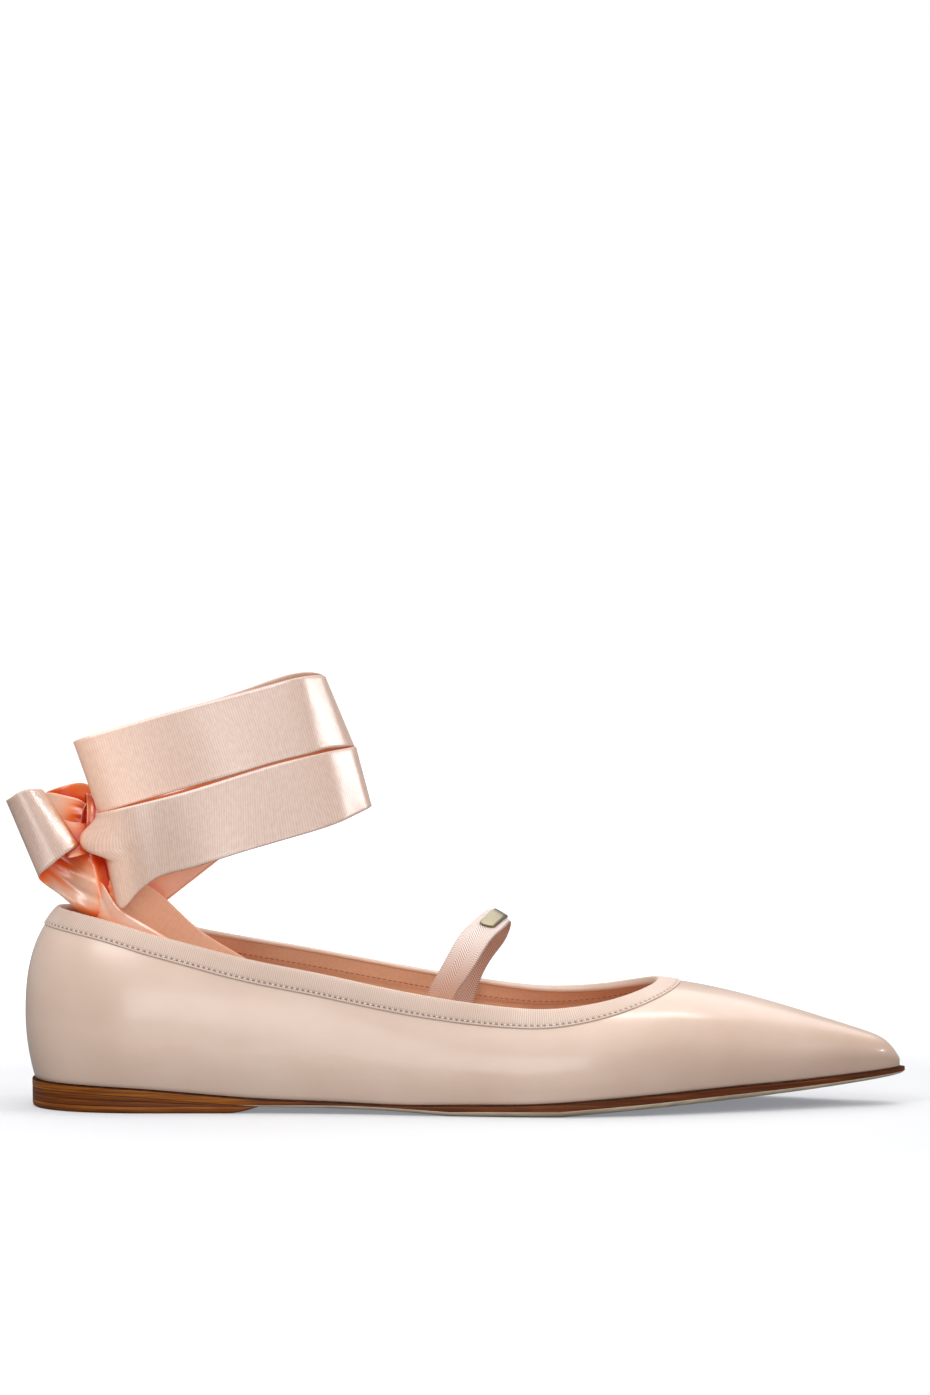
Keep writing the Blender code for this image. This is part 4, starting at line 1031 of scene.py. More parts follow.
def lay_cloth(rows, step, across, closed=False, gathers=3):
    """A strip's middle surface through its folds. A row holds the upper edge, the lower edge, how far the
    middle bellies out, how deep it is gathered and how far its upper half is drawn back into a lobe."""
    curves, start, end = fold_curves(rows, closed)
    steps = int(round((end - start) / step)) + 1
    places = np.linspace(start, end, steps)
    if closed:
        places = places[:-1]
    values = np.column_stack([curve(places) for curve in curves])
    upper, lower = values[:, None, :3], values[:, None, 3:6]
    share = np.linspace(0.0, 1.0, across)[None, :, None]
    points = upper * (1.0 - share) + lower * share
    lobe = ease(share, *LOBE_RISES) * (1.0 - ease(share, *LOBE_ENDS))
    points[..., :1] -= HEEL_TO_ORIGIN + np.maximum(values[:, None, 8:9], 0.0) * lobe
    belly, gather = values[:, None, 6:7], np.maximum(values[:, None, 7:8], 0.0)
    pleats = np.sin(math.tau * gathers * share + PLEAT_PHASE)
    fine_pleats = np.sin(math.tau * FINE_PLEAT_RATE * gathers * share + FINE_PLEAT_PHASE)
    shape = belly * 4.0 * share * (1.0 - share) + gather * (pleats + FINE_PLEAT_SHARE * fine_pleats)
    points = points + grid_normals(points, closed) * shape
    travel = path_length(points[:, across // 2])
    edge_step = np.linalg.norm(np.diff(points, axis=1), axis=2)
    breadth = np.concatenate([np.zeros((len(points), 1)), np.cumsum(edge_step, axis=1)], axis=1)
    return Cloth(points, grid_normals(points, closed), travel, breadth, travel[-1])


def round_the_strip(front, back):
    """Numbers of a strip's two faces in the order of its points: front, far rim, back, near rim."""
    return np.concatenate([front, front[:, -1:], back[:, ::-1], back[:, :1]], axis=1).ravel()


def cloth_piece(name, cloth, thickness, finish, closed=False, relief=0.0):
    """A strip of cloth with two faces and closed edges. It keeps its travel and breadth, in millimetres, for
    the weave, and both faces stand proud by the relief."""
    count, across = cloth.points.shape[:2]
    half = np.full((count, across), 0.5 * thickness) + relief
    front = cloth.points + cloth.normals * half[..., None]
    back = cloth.points - cloth.normals * half[..., None]
    rim_out = np.cross(cloth.normals[:, :1], np.gradient(cloth.points, axis=0)[:, :1])
    rim_out /= np.maximum(np.linalg.norm(rim_out, axis=2, keepdims=True), 1e-9)
    toward = np.sign((rim_out * (cloth.points[:, 1:2] - cloth.points[:, :1])).sum(axis=2, keepdims=True))
    first_rim = cloth.points[:, :1] - rim_out * toward * half[:, :1, None]
    last_rim = cloth.points[:, -1:] + rim_out * toward * half[:, -1:, None]
    loop = np.concatenate([front, last_rim, back[:, ::-1], first_rim], axis=1)
    rows = loop.shape[1]
    faces = tube(count, rows, closed).tolist()
    if not closed:
        for start, turned in ((0, False), ((count - 1) * rows, True)):
            for j in range(across - 1):
                back_j = rows - 2 - j
                quad = (start + j, start + j + 1, start + back_j - 1, start + back_j)
                faces.append(quad[::-1] if turned else quad)
            for trio in ((start, start + rows - 2, start + rows - 1),
                         (start + across - 1, start + across, start + across + 1)):
                faces.append(trio[::-1] if turned else trio)
    piece = build(name, loop.reshape(-1, 3), faces, [finish])
    keep_attribute(piece, "travel", np.repeat(cloth.travel, rows))
    keep_attribute(piece, "breadth", round_the_strip(cloth.breadth, cloth.breadth))
    return piece


WEB_STEP = 0.2
STRIPE_MM, TWILL_MM, TWILL_SLANT = 2.4, 0.95, 1.3
CORD_FROM_MM, CORD_TO_MM, CORD_RIB_MM = 0.45, 0.9, 0.7
WEAVE_DEPTH, WEB_CORE = 0.09, STRAP_THICKNESS - 0.15
TAN_AT_FOOT, TAN_FROM, TAN_TO = 0.8, 32.0, 57.0
TAN_INSIDE, FOOT_TAN_INSIDE = 0.3, 0.55
strap = lay_cloth([(a.back, a.across, a.back_height, a.front, a.across, a.front_height, 0.0, 0.0, 0.0)
                   for a in STRAP], WEB_STEP, STRAP_ACROSS)
from_edge = np.minimum(strap.breadth, strap.breadth[:, -1:] - strap.breadth)
slant = TWILL_SLANT * STRIPE_MM * np.abs((strap.breadth / STRIPE_MM) % 2.0 - 1.0)
twill_line = 0.5 + 0.5 * np.cos(math.tau * (strap.travel[:, None] + slant) / TWILL_MM)
edge_cord = 1.0 - ease(from_edge, CORD_FROM_MM, CORD_TO_MM)
edge_rib = 0.5 + 0.5 * np.cos(math.tau * strap.travel[:, None] / CORD_RIB_MM)
weave = twill_line * (1.0 - edge_cord) + edge_rib * edge_cord
instep = cloth_piece("instep_elastic", strap, WEB_CORE, elastic_web, relief=WEAVE_DEPTH * weave)
keep_attribute(instep, "twill", round_the_strip(weave, weave))
foot_light = TAN_AT_FOOT * (1.0 - ease(strap.points[..., 2], TAN_FROM, TAN_TO))
inner_light = np.maximum(FOOT_TAN_INSIDE * foot_light, TAN_INSIDE)
front_is_outside = strap.normals[len(strap.normals) // 2, STRAP_MIDDLE, 2] > 0.0
tan_faces = (foot_light, inner_light) if front_is_outside else (inner_light, foot_light)
keep_attribute(instep, "tan_light", round_the_strip(*tan_faces))
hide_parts("instep_strap")
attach(instep, "root")


# Bar: a slim plain plate of pale gold-plated brass, bent to the elastic and held by two hidden prongs. Its
# edges are rounded by tumbling.
BAR_LENGTH, BAR_WIDTH, BAR_THICKNESS, BAR_ACROSS = 14.0, 4.8, 0.8, -4.0
CORNER_POWER = 14
BarEdge = namedtuple("BarEdge", "half_widths thicknesses")
BAR_SECTION = [
    BarEdge(-1.0, -0.5), BarEdge(-1.0, 0.1), BarEdge(-0.97, 0.34), BarEdge(-0.9, 0.47), BarEdge(-0.6, 0.55),
    BarEdge(0.0, 0.58), BarEdge(0.6, 0.55), BarEdge(0.9, 0.47), BarEdge(0.97, 0.34), BarEdge(1.0, 0.1),
    BarEdge(1.0, -0.5), BarEdge(0.0, -0.5),
]

# Pale gold plating on tumbled brass: a soft, slightly green shine, with a faint grain of about 1.4 mm.
pale_gold, tree, shader = new_finish("pale_gold_plate", Metallic=1.0, Roughness=0.3,
                                     Base_Color=srgb("#8f8670"))
place = node(tree, "ShaderNodeTexCoord").outputs["Object"]
grain = node(tree, "ShaderNodeTexNoise", {"Vector": place, "Scale": 700.0, "Detail": 3.0})
bump = node(tree, "ShaderNodeBump", {"Strength": 0.06, "Distance": 0.0001, "Height": grain.outputs[0]})
tree.links.new(bump.outputs[0], shader.inputs["Normal"])

bar_row = int(np.argmin(np.abs(strap.points[:, STRAP_MIDDLE, 1] - BAR_ACROSS)))
on_bar = np.nonzero(np.abs(strap.travel - strap.travel[bar_row]) <= 0.5 * BAR_LENGTH)[0]
centre = strap.points[on_bar, STRAP_MIDDLE]
up = strap.normals[on_bar, STRAP_MIDDLE] * np.sign(strap.normals[on_bar, STRAP_MIDDLE, 2:])
width_way = strap.points[on_bar, -1] - strap.points[on_bar, 0]
width_way /= np.linalg.norm(width_way, axis=1, keepdims=True)
along_bar = (strap.travel[on_bar] - strap.travel[bar_row]) / (0.5 * BAR_LENGTH)
half_width = 0.5 * BAR_WIDTH * np.sqrt(np.clip(1.0 - np.abs(along_bar) ** CORNER_POWER, 0.0, 1.0))[:, None]
bar_lift = 0.5 * STRAP_THICKNESS + 0.5 * BAR_THICKNESS
bar_points = np.stack([centre + up * (bar_lift + e.thicknesses * BAR_THICKNESS)
                       + width_way * (e.half_widths * half_width) for e in BAR_SECTION], axis=1)
rows = len(BAR_SECTION)
last_loop = (len(bar_points) - 1) * rows
bar_faces = tube(len(bar_points), rows).tolist()
bar_faces += [range(rows), range(last_loop + rows - 1, last_loop - 1, -1)]
bar = build("gold_bar", bar_points.reshape(-1, 3), bar_faces, [pale_gold])
tidy(bar)
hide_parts("strap_bar")
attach(bar, "root")


# Ankle tie: one length of 25 mm satin-faced ribbon is sewn inside each wall at the waist. The two cross
# behind the ankle, wrap it twice and end in a bow. The ribbon is 0.3 mm thick with a firm woven edge.
RIBBON_THICKNESS, SELVEDGE_MM, SELVEDGE_RISE = 0.3, 0.7, 0.06
WEFT_MM, WARP_MM, SLUBS = 0.75, 0.6, (0.9, 0.5, 1.0)
CLOTH_STEP = 0.8
# A fold's glow is how much painted glow the ribbon gets there, standing in for light through the cloth.
Fold = namedtuple("Fold", "place upper lower belly gather lobe glow", defaults=(0.0, 0.0, 0.0, 0.0))

# Satin-faced ribbon: polyester, pale pink-beige, woven with fine lines across and slubs about 1 mm by 2 mm.
# It is matte where it lies flat and shines white where it bends. Its colour is painted darker, orange and
# then red deeper in its folds, as painted shade, and it has a painted glow: orange where light would come
# through it, and red deep in its folds. The real threads are 0.3 to 0.5 mm apart, and are drawn 0.6 to 0.75
# mm apart so that they show.
satin, tree, shader = new_finish("satin_ribbon", Roughness=0.3, IOR=1.6, Specular_IOR_Level=0.9,
                                 Sheen_Weight=0.12, Sheen_Roughness=0.3, Sheen_Tint=srgb("#fff0e6"),
                                 Emission_Strength=0.4)
travel = node(tree, "ShaderNodeAttribute", attribute_name="travel").outputs["Fac"]
breadth = node(tree, "ShaderNodeAttribute", attribute_name="breadth").outputs["Fac"]
depth = node(tree, "ShaderNodeAttribute", attribute_name="fold_depth").outputs["Fac"]
through = node(tree, "ShaderNodeAttribute", attribute_name="light_through").outputs["Fac"]
on_cloth = node(tree, "ShaderNodeCombineXYZ", {0: travel, 1: breadth})
slub_space = node(tree, "ShaderNodeMapping", {0: on_cloth.outputs[0], 3: SLUBS})
slub = node(tree, "ShaderNodeTexNoise", {"Vector": slub_space.outputs[0], "Scale": 1.0, "Detail": 2.0})
soft_slub = node(tree, "ShaderNodeMapRange", {0: slub.outputs[0], 3: 0.2, 4: 0.8})
weft_turns = node(tree, "ShaderNodeMath", {0: travel, 1: math.tau / WEFT_MM}, operation="MULTIPLY")
weft_wave = node(tree, "ShaderNodeMath", {0: weft_turns.outputs[0]}, operation="SINE")
warp_turns = node(tree, "ShaderNodeMath", {0: breadth, 1: math.tau / WARP_MM}, operation="MULTIPLY")
warp_wave = node(tree, "ShaderNodeMath", {0: warp_turns.outputs[0]}, operation="SINE")
crossed = node(tree, "ShaderNodeMath", {0: warp_wave.outputs[0], 1: 0.6, 2: weft_wave.outputs[0]},
               operation="MULTIPLY_ADD")
cloth_height = node(tree, "ShaderNodeMath", {0: crossed.outputs[0], 1: 0.16, 2: soft_slub.outputs[0]},
                    operation="MULTIPLY_ADD")
tone = node(tree, "ShaderNodeValToRGB", {0: cloth_height.outputs[0]},
            stops=[(0.25, "#b99a89"), (0.5, "#c6a898"), (0.75, "#cfb5a6")])
# Painted shade: the tone turns darker, orange and then red with the fold depth.
painted_fold_shade = node(tree, "ShaderNodeValToRGB", {0: depth},
            stops=[(0.16, "#cca994"), (0.34, "#cd8a60"), (0.5, "#c2602c"), (0.64, "#b03c12"),
                   (0.86, "#961a03")])
shaded = node(tree, "ShaderNodeMapRange", {0: depth, 1: 0.12, 2: 0.45})
base_colour = node(tree, "ShaderNodeMix", {0: shaded.outputs[0], 6: tone.outputs[0], 7: painted_fold_shade.outputs[0]},
            data_type="RGBA")
tree.links.new(base_colour.outputs[2], shader.inputs["Base Color"])
# Painted glow: the emission stands in for light through the cloth, orange where it is lit from behind and red
# deep in the folds.
red_glow = node(tree, "ShaderNodeValToRGB", {0: depth}, stops=[(0.66, "#000000"), (0.92, "#b02404")])
lit_cloth = node(tree, "ShaderNodeValToRGB", {0: depth},
                 stops=[(0.06, "#eeb28c"), (0.3, "#e27c3e"), (0.5, "#d65619"), (0.68, "#ba3006"),
                        (0.92, "#9c1c02")])
glow = node(tree, "ShaderNodeMix", {0: through, 6: red_glow.outputs[0], 7: lit_cloth.outputs[0]},
            data_type="RGBA")
tree.links.new(glow.outputs[2], shader.inputs["Emission Color"])
bump = node(tree, "ShaderNodeBump", {"Strength": 0.3, "Distance": 0.00008, "Height": cloth_height.outputs[0]})
tree.links.new(bump.outputs[0], shader.inputs["Normal"])

WRAP_UPPER = [
    Fold("back", (13.2, -1.0, 108.6), (20.6, -1.6, 88.2), glow=0.6),
    Fold("lateral corner", (13.4, -6.6, 109.3), (20.8, -9.4, 88.2), glow=0.7),
    Fold("lateral back", (26.9, -8.8, 113.7), (33.1, -12.6, 91.9), 0.1, glow=0.45),
    Fold("lateral", (50.9, -10.2, 120.6), (58.6, -15.4, 99.3), 0.1, glow=0.1),
    Fold("lateral front", (72.0, -10.4, 126.2), (78.0, -14.9, 104.9)),
    Fold("bend begins", (79.3, -10.0, 128.1), (85.6, -13.6, 106.8)),
    Fold("gloss begins", (81.0, -9.2, 128.4), (87.4, -12.4, 107.3)),
    Fold("gloss ends", (85.8, -5.4, 128.8), (93.2, -8.0, 107.8)),
    Fold("bend ends", (87.2, -4.1, 128.7), (94.9, -6.4, 107.9)),
    Fold("front", (88.0, -0.8, 128.2), (96.6, -2.4, 107.5)),
    Fold("medial bend", (86.2, 3.8, 129.0), (94.4, 6.6, 107.0)),
    Fold("medial front", (79.0, 7.6, 129.0), (86.0, 13.5, 106.4), 0.2, glow=0.1),
    Fold("medial", (65.4, 8.6, 124.7), (72.5, 15.4, 102.8), 0.3, glow=0.1),
    Fold("medial rear", (50.0, 8.6, 119.6), (57.5, 16.0, 98.6), 0.3, glow=0.15),
    Fold("medial back", (26.0, 6.8, 111.9), (32.0, 11.0, 92.0), 0.2, glow=0.3),
    Fold("medial corner", (14.2, 3.4, 109.0), (21.6, 4.6, 88.7), glow=0.5),
]
WRAP_LOWER = [
    Fold("in the knot", (20.6, -2.4, 86.6), (23.8, -2.0, 74.0), lobe=3.4),
    Fold("turn", (19.8, -7.2, 87.6), (23.6, -8.0, 70.5), lobe=5.6, glow=0.6),
    Fold("lobe", (20.6, -10.8, 88.0), (25.3, -12.6, 64.5), lobe=6.6, glow=0.4),
    Fold("pulled corner", (23.2, -13.0, 88.6), (27.4, -15.4, 60.2), lobe=4.0, glow=0.55),
    Fold("beside the corner", (27.4, -14.2, 89.6), (31.6, -16.4, 63.9), 0.2, lobe=1.4, glow=0.35),
    Fold("end of the corner", (31.6, -14.7, 90.6), (35.3, -17.4, 67.3), 0.2, glow=0.12),
    Fold("lateral back", (36.0, -14.9, 91.7), (38.6, -17.9, 69.5), 0.2),
    Fold("lateral rear", (44.0, -15.6, 93.8), (46.4, -19.4, 71.9), 0.1),
    Fold("lateral", (58.5, -15.8, 98.2), (58.9, -21.0, 75.8), 0.1),
    Fold("lateral front", (76.0, -15.2, 103.4), (80.0, -19.6, 82.0)),
    Fold("bend begins", (87.4, -13.4, 106.0), (94.4, -16.2, 86.7)),
    Fold("gloss begins", (90.0, -11.9, 106.5), (96.8, -14.2, 87.8)),
    Fold("gloss ends", (94.8, -8.1, 107.2), (99.9, -11.7, 89.2)),
    Fold("bend ends", (96.1, -6.9, 107.4), (101.1, -10.4, 89.8)),
    Fold("front", (97.0, -2.0, 107.4), (101.4, -3.4, 90.3)),
    Fold("medial bend", (93.2, 5.6, 107.0), (98.6, 8.4, 89.6)),
    Fold("medial front", (83.5, 11.0, 105.4), (86.5, 18.0, 84.6), 0.3, glow=0.6),
    Fold("medial", (58.0, 13.8, 98.4), (58.0, 21.6, 75.0), 0.3, glow=0.7),
    Fold("medial back", (33.0, 12.0, 91.2), (35.5, 17.0, 69.0), 0.3, 0.1, glow=0.7),
    Fold("medial side of the knot", (21.5, 6.0, 87.0), (22.3, 6.2, 76.5), 0.2, 0.5),
    Fold("in the knot again", (20.5, 3.0, 82.0), (21.0, 3.0, 76.5), 0.0, 0.5),
]
RISER_LATERAL = [
    Fold("sewn end", (50.0, -19.6, 46.5), (36.0, -23.0, 28.5), glow=0.35),
    Fold("at the topline", (40.8, -18.6, 51.8), (25.5, -18.5, 33.5), 0.2, glow=0.4),
    Fold("rising", (31.7, -15.6, 56.7), (17.5, -13.0, 41.5), 0.5, glow=0.45),
    Fold("gathering", (25.5, -12.0, 61.1), (15.8, -8.5, 50.0), 0.6, 0.1, glow=0.5),
    Fold("below the knot", (20.9, -8.2, 67.7), (16.6, -5.0, 58.8), 0.3, 0.3, glow=0.5),
    Fold("behind the knot", (17.8, 0.0, 67.8), (17.4, 1.0, 60.0), 0.2, 0.5),
    Fold("medial side", (20.0, 7.0, 69.0), (19.6, 7.8, 60.2), 0.2, 0.5),
    Fold("medial bend", (22.8, 8.4, 70.4), (31.0, 10.0, 57.6), glow=0.2),
    Fold("spreading", (28.4, 9.2, 74.4), (41.4, 11.6, 61.8), glow=0.7),
    Fold("straight", (35.2, 10.2, 79.7), (48.6, 12.8, 67.4), glow=0.7),
    Fold("climbing", (42.0, 11.2, 85.0), (55.8, 14.0, 73.0), glow=0.7),
    Fold("inside the wraps", (53.5, 11.0, 92.5), (66.9, 14.6, 81.6), glow=0.2),
]
RISER_MEDIAL = [
    Fold("sewn end", (68.0, 21.2, 38.5), (54.0, 22.6, 19.0), glow=0.5),
    Fold("below the topline", (62.5, 20.0, 42.3), (48.1, 21.8, 22.7), glow=0.9),
    Fold("rising", (51.0, 16.5, 49.7), (36.5, 20.0, 31.0), 0.2, glow=1.0),
    Fold("over the heel", (39.9, 11.0, 60.3), (25.5, 14.0, 42.5), 0.3, glow=1.0),
    Fold("gathering", (33.0, 6.0, 65.8), (22.0, 7.0, 52.0), 0.2, 0.2, glow=0.5),
    Fold("below the knot", (26.6, 0.0, 67.6), (21.6, 1.0, 59.8), 0.0, 0.4),
    Fold("lateral turn", (23.6, -5.2, 67.4), (22.8, -4.6, 59.4), 0.0, 0.3, glow=0.9),
    Fold("crossing", (23.8, -8.8, 67.6), (26.6, -8.6, 60.0), 0.0, 0.1, glow=0.9),
    Fold("spreading", (25.6, -10.2, 74.0), (33.0, -11.6, 65.2), 0.2, glow=0.9),
    Fold("inside the wrap", (33.0, -10.4, 82.0), (43.5, -12.8, 75.5)),
]
BOW_LOOP_LATERAL = [
    Fold("in the knot", (18.8, -2.6, 83.6), (21.0, -5.0, 76.4), 0.0, 0.2),
    Fold("from the knot", (15.6, -6.2, 84.6), (17.2, -9.6, 76.0), 0.2, 0.1, glow=0.35),
    Fold("behind the bend", (6.6, -7.6, 88.6), (11.6, -11.0, 75.6), glow=0.3),
    Fold("bend ends", (3.8, -10.6, 95.1), (14.8, -9.6, 78.8)),
    Fold("gloss ends", (2.7, -12.0, 95.3), (13.9, -10.7, 78.2)),
    Fold("gloss begins", (-0.4, -14.8, 95.3), (10.8, -13.5, 76.2)),
    Fold("bend begins", (-1.7, -15.4, 95.0), (9.5, -14.4, 75.3)),
    Fold("outer face", (-4.4, -15.3, 93.3), (6.0, -15.2, 72.4)),
    Fold("back fold", (-6.5, -12.6, 91.9), (3.2, -14.4, 69.9)),
    Fold("past the fold", (-6.2, -9.4, 91.3), (3.7, -11.4, 67.9)),
    Fold("under face", (1.0, -5.0, 86.6), (9.4, -8.4, 63.4), 0.3, 0.2, glow=0.3),
    Fold("to the knot", (12.4, -5.0, 80.6), (17.6, -9.2, 57.4), 0.4, 0.4, glow=0.35),
    Fold("crest", (18.2, -7.8, 76.6), (23.4, -10.8, 57.0), 0.3, 0.1, glow=1.0),
    Fold("in the knot again", (21.0, -3.6, 75.6), (25.0, -5.0, 60.0), 0.0, 0.1, glow=1.0),
]
BOW_LOOP_MEDIAL = [
    Fold("in the knot", (18.6, 0.2, 86.0), (19.0, 0.4, 79.0), 0.0, 0.4),
    Fold("from the knot", (15.6, 1.8, 90.4), (15.2, 1.6, 80.8), 0.3, 0.3, glow=0.55),
    Fold("near face", (10.4, 2.8, 92.2), (10.0, 3.4, 79.6), 0.6, glow=0.85),
    Fold("before the fold", (5.6, 6.0, 93.0), (6.4, 7.6, 78.0), 0.3, glow=0.9),
    Fold("back fold", (3.6, 10.6, 93.0), (5.4, 12.4, 76.0), 0.2, glow=0.6),
    Fold("far face", (9.8, 13.8, 95.0), (12.0, 15.0, 74.6), 0.3, 0.1, glow=0.2),
    Fold("past the top", (15.6, 10.6, 95.4), (16.4, 11.0, 76.0), 0.2, 0.3, glow=0.3),
    Fold("in the knot again", (20.0, 3.5, 90.0), (20.0, 3.8, 78.5), 0.0, 0.5),
]
BOW_END = [
    Fold("in the knot", (19.6, 2.5, 77.0), (16.4, 2.0, 73.5), 0.0, 0.4),
    Fold("from the knot", (18.6, 5.6, 75.0), (14.8, 4.4, 71.4), 0.0, 0.6),
    Fold("over the collar", (21.5, 12.5, 68.0), (13.4, 10.0, 65.4), 0.2, 0.4),
    Fold("past the collar", (22.0, 22.0, 61.5), (11.4, 18.4, 59.2), 0.3, 0.1),
    Fold("falling", (21.4, 26.6, 50.0), (4.6, 18.6, 45.5), 0.3),
    Fold("cut end", (22.0, 29.6, 37.5), (3.4, 20.4, 34.0), 0.2),
]
KNOT_WRAP = [
    Fold("lateral", (16.8, -6.2, 82.0), (22.6, -7.0, 82.0), 0.8, 0.1, glow=0.3),
    Fold("lateral above", (17.0, -5.8, 89.0), (22.4, -6.4, 89.0), 0.8, 0.1, glow=0.3),
    Fold("top", (16.4, -1.0, 93.6), (22.6, -1.0, 92.6), 0.6, 0.2),
    Fold("medial above", (15.6, 3.8, 89.6), (22.6, 3.8, 88.6), 0.5, 0.3),
    Fold("medial", (15.2, 5.0, 80.0), (23.4, 5.2, 80.0), 0.6, 0.3),
    Fold("medial below", (15.6, 3.6, 71.6), (23.8, 3.8, 72.6), 0.5, 0.3),
    Fold("bottom", (17.4, -0.4, 69.0), (23.4, -0.4, 69.6), 0.5, 0.3),
    Fold("lateral below", (17.8, -4.0, 72.4), (22.8, -4.8, 73.0), 0.4, 0.2),
]
KNOT_TURN = [
    Fold("top", (18.8, -3.4, 92.2), (18.8, 2.8, 92.2), 0.0, 0.1),
    Fold("over the top", (16.4, -4.4, 90.4), (16.2, 3.4, 90.4), 0.3, 0.2),
    Fold("upper back", (14.9, -4.6, 86.0), (14.6, 4.0, 86.0), 0.8, 0.3),
    Fold("middle", (14.6, -4.4, 80.4), (14.2, 4.4, 80.4), 0.9, 0.4, glow=0.2),
    Fold("lower back", (15.2, -4.2, 74.8), (14.8, 4.2, 74.8), 0.7, 0.3),
    Fold("underneath", (17.6, -3.4, 69.6), (17.6, 3.6, 69.6), 0.2, 0.2),
    Fold("tucked in", (20.4, -3.0, 69.2), (20.4, 3.2, 69.2), 0.0, 0.1),
]

ribbon_sizes = {}


def ribbon(name, folds, node_name, closed=False, gathers=3, across=28, shade=1.0):
    """A length of satin ribbon through its folds. Across is how many points lie across it, and shade is how
    much of the folds' painted shade and glow it takes."""
    rows = [(*f.upper, *f.lower, f.belly, f.gather, f.lobe) for f in folds]
    cloth = lay_cloth(rows, CLOTH_STEP, across, closed, gathers)
    width = cloth.breadth[:, -1:]
    from_edge = np.minimum(cloth.breadth, width - cloth.breadth)
    selvedge = SELVEDGE_RISE * (1.0 - ease(from_edge, 0.0, SELVEDGE_MM))
    piece = cloth_piece(name, cloth, RIBBON_THICKNESS, satin, closed, relief=selvedge)
    curves, start, end = fold_curves([(*f.upper, *f.lower, f.glow) for f in folds], closed)
    lit = np.clip(curves[-1](np.linspace(start, end, len(cloth.points))), 0.0, 1.0)
    ribbon_sizes[piece] = across, closed, lit, shade
    if node_name:
        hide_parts(node_name)
    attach(piece, "root")
    return piece


ribbons = [
    ribbon("riser_ribbon_lateral", RISER_LATERAL, "riser_lateral", shade=0.8),
    ribbon("riser_ribbon_medial", RISER_MEDIAL, "riser_medial", shade=0.36),
    ribbon("ankle_wrap_lower", WRAP_LOWER, "wrap_lower", shade=0.75),
    ribbon("ankle_wrap_upper", WRAP_UPPER, "wrap_upper", closed=True,
           shade=0.5),
    ribbon("bow_loop_near", BOW_LOOP_LATERAL, "bow_loop_lateral"),
    ribbon("bow_loop_far", BOW_LOOP_MEDIAL, "bow_loop_medial"),
    ribbon("bow_tail", BOW_END, "bow_end"),
    ribbon("knot_wrap", KNOT_WRAP, "knot", closed=True, gathers=2,
           across=16),
    ribbon("knot_turn", KNOT_TURN, None, gathers=2, across=16),
]

# How deep each point of the ribbons lies in the folds: the share of the sky that other cloth or the shoe
# hides, which paints shade into the satin's colour. Cloth within 6 mm counts in full, and what is over 35 mm
# away counts for 0.6 of that. A shaded face gets a painted glow, for light that would come through from a
# face behind it that is open to the sky.
SKY_RAYS, SKY_REACH, CLEAR = 22, 0.12, 0.0004
CLOSE_BY, FAR_OFF, FAR_WEIGHT = 0.006, 0.035, 0.6
BEHIND_REACH, BLUR_MM = 0.025, 2.0
SHADED_FROM, SHADED_TO = 0.15, 0.5


def of_points(piece, what):
    """The place or the direction out of each point of a piece."""
    values = np.zeros(len(piece.data.vertices) * 3, np.float32)
    piece.data.vertices.foreach_get(what, values)
    return values.reshape(-1, 3)


places, triangles, first = [], [], 0
for piece in ribbons + [calf_upper, kid_lining]:
    piece.data.calc_loop_triangles()
    corners = np.zeros(len(piece.data.loop_triangles) * 3, np.int32)
    piece.data.loop_triangles.foreach_get("vertices", corners)
    triangles.append(corners.reshape(-1, 3) + first)
    places.append(of_points(piece, "co"))
    first += len(places[-1])
sky = BVHTree.FromPolygons(np.vstack(places).tolist(), np.vstack(triangles).tolist())
share = (np.arange(SKY_RAYS) + 0.5) / SKY_RAYS
golden_turn = np.arange(SKY_RAYS) * math.pi * (3.0 - math.sqrt(5.0))
dome = np.column_stack([np.sqrt(share) * np.cos(golden_turn), np.sqrt(share) * np.sin(golden_turn),
                        np.sqrt(1.0 - share)])


def softened(values, across, closed):
    """Numbers on a ribbon's points, blurred along each of its two faces."""
    reach = int(3 * BLUR_MM / CLOTH_STEP)
    weights = np.exp(-0.5 * (np.arange(-reach, reach + 1) * CLOTH_STEP / BLUR_MM) ** 2)
    weights /= weights.sum()
    front, back = values[:, :across], values[:, across + 1:2 * across + 1]
    faces = []
    for face in (front, back):
        face = np.pad(face, ((0, 0), (reach, reach)), mode="edge")
        face = np.pad(face, ((reach, reach), (0, 0)), mode="wrap" if closed else "edge")
        face = np.apply_along_axis(np.convolve, 0, face, weights, mode="valid")
        faces.append(np.apply_along_axis(np.convolve, 1, face, weights, mode="valid"))
    rims = [0.5 * (faces[0][:, -1:] + faces[1][:, :1]), 0.5 * (faces[1][:, -1:] + faces[0][:, :1])]
    return np.concatenate([faces[0], rims[0], faces[1], rims[1]], axis=1)


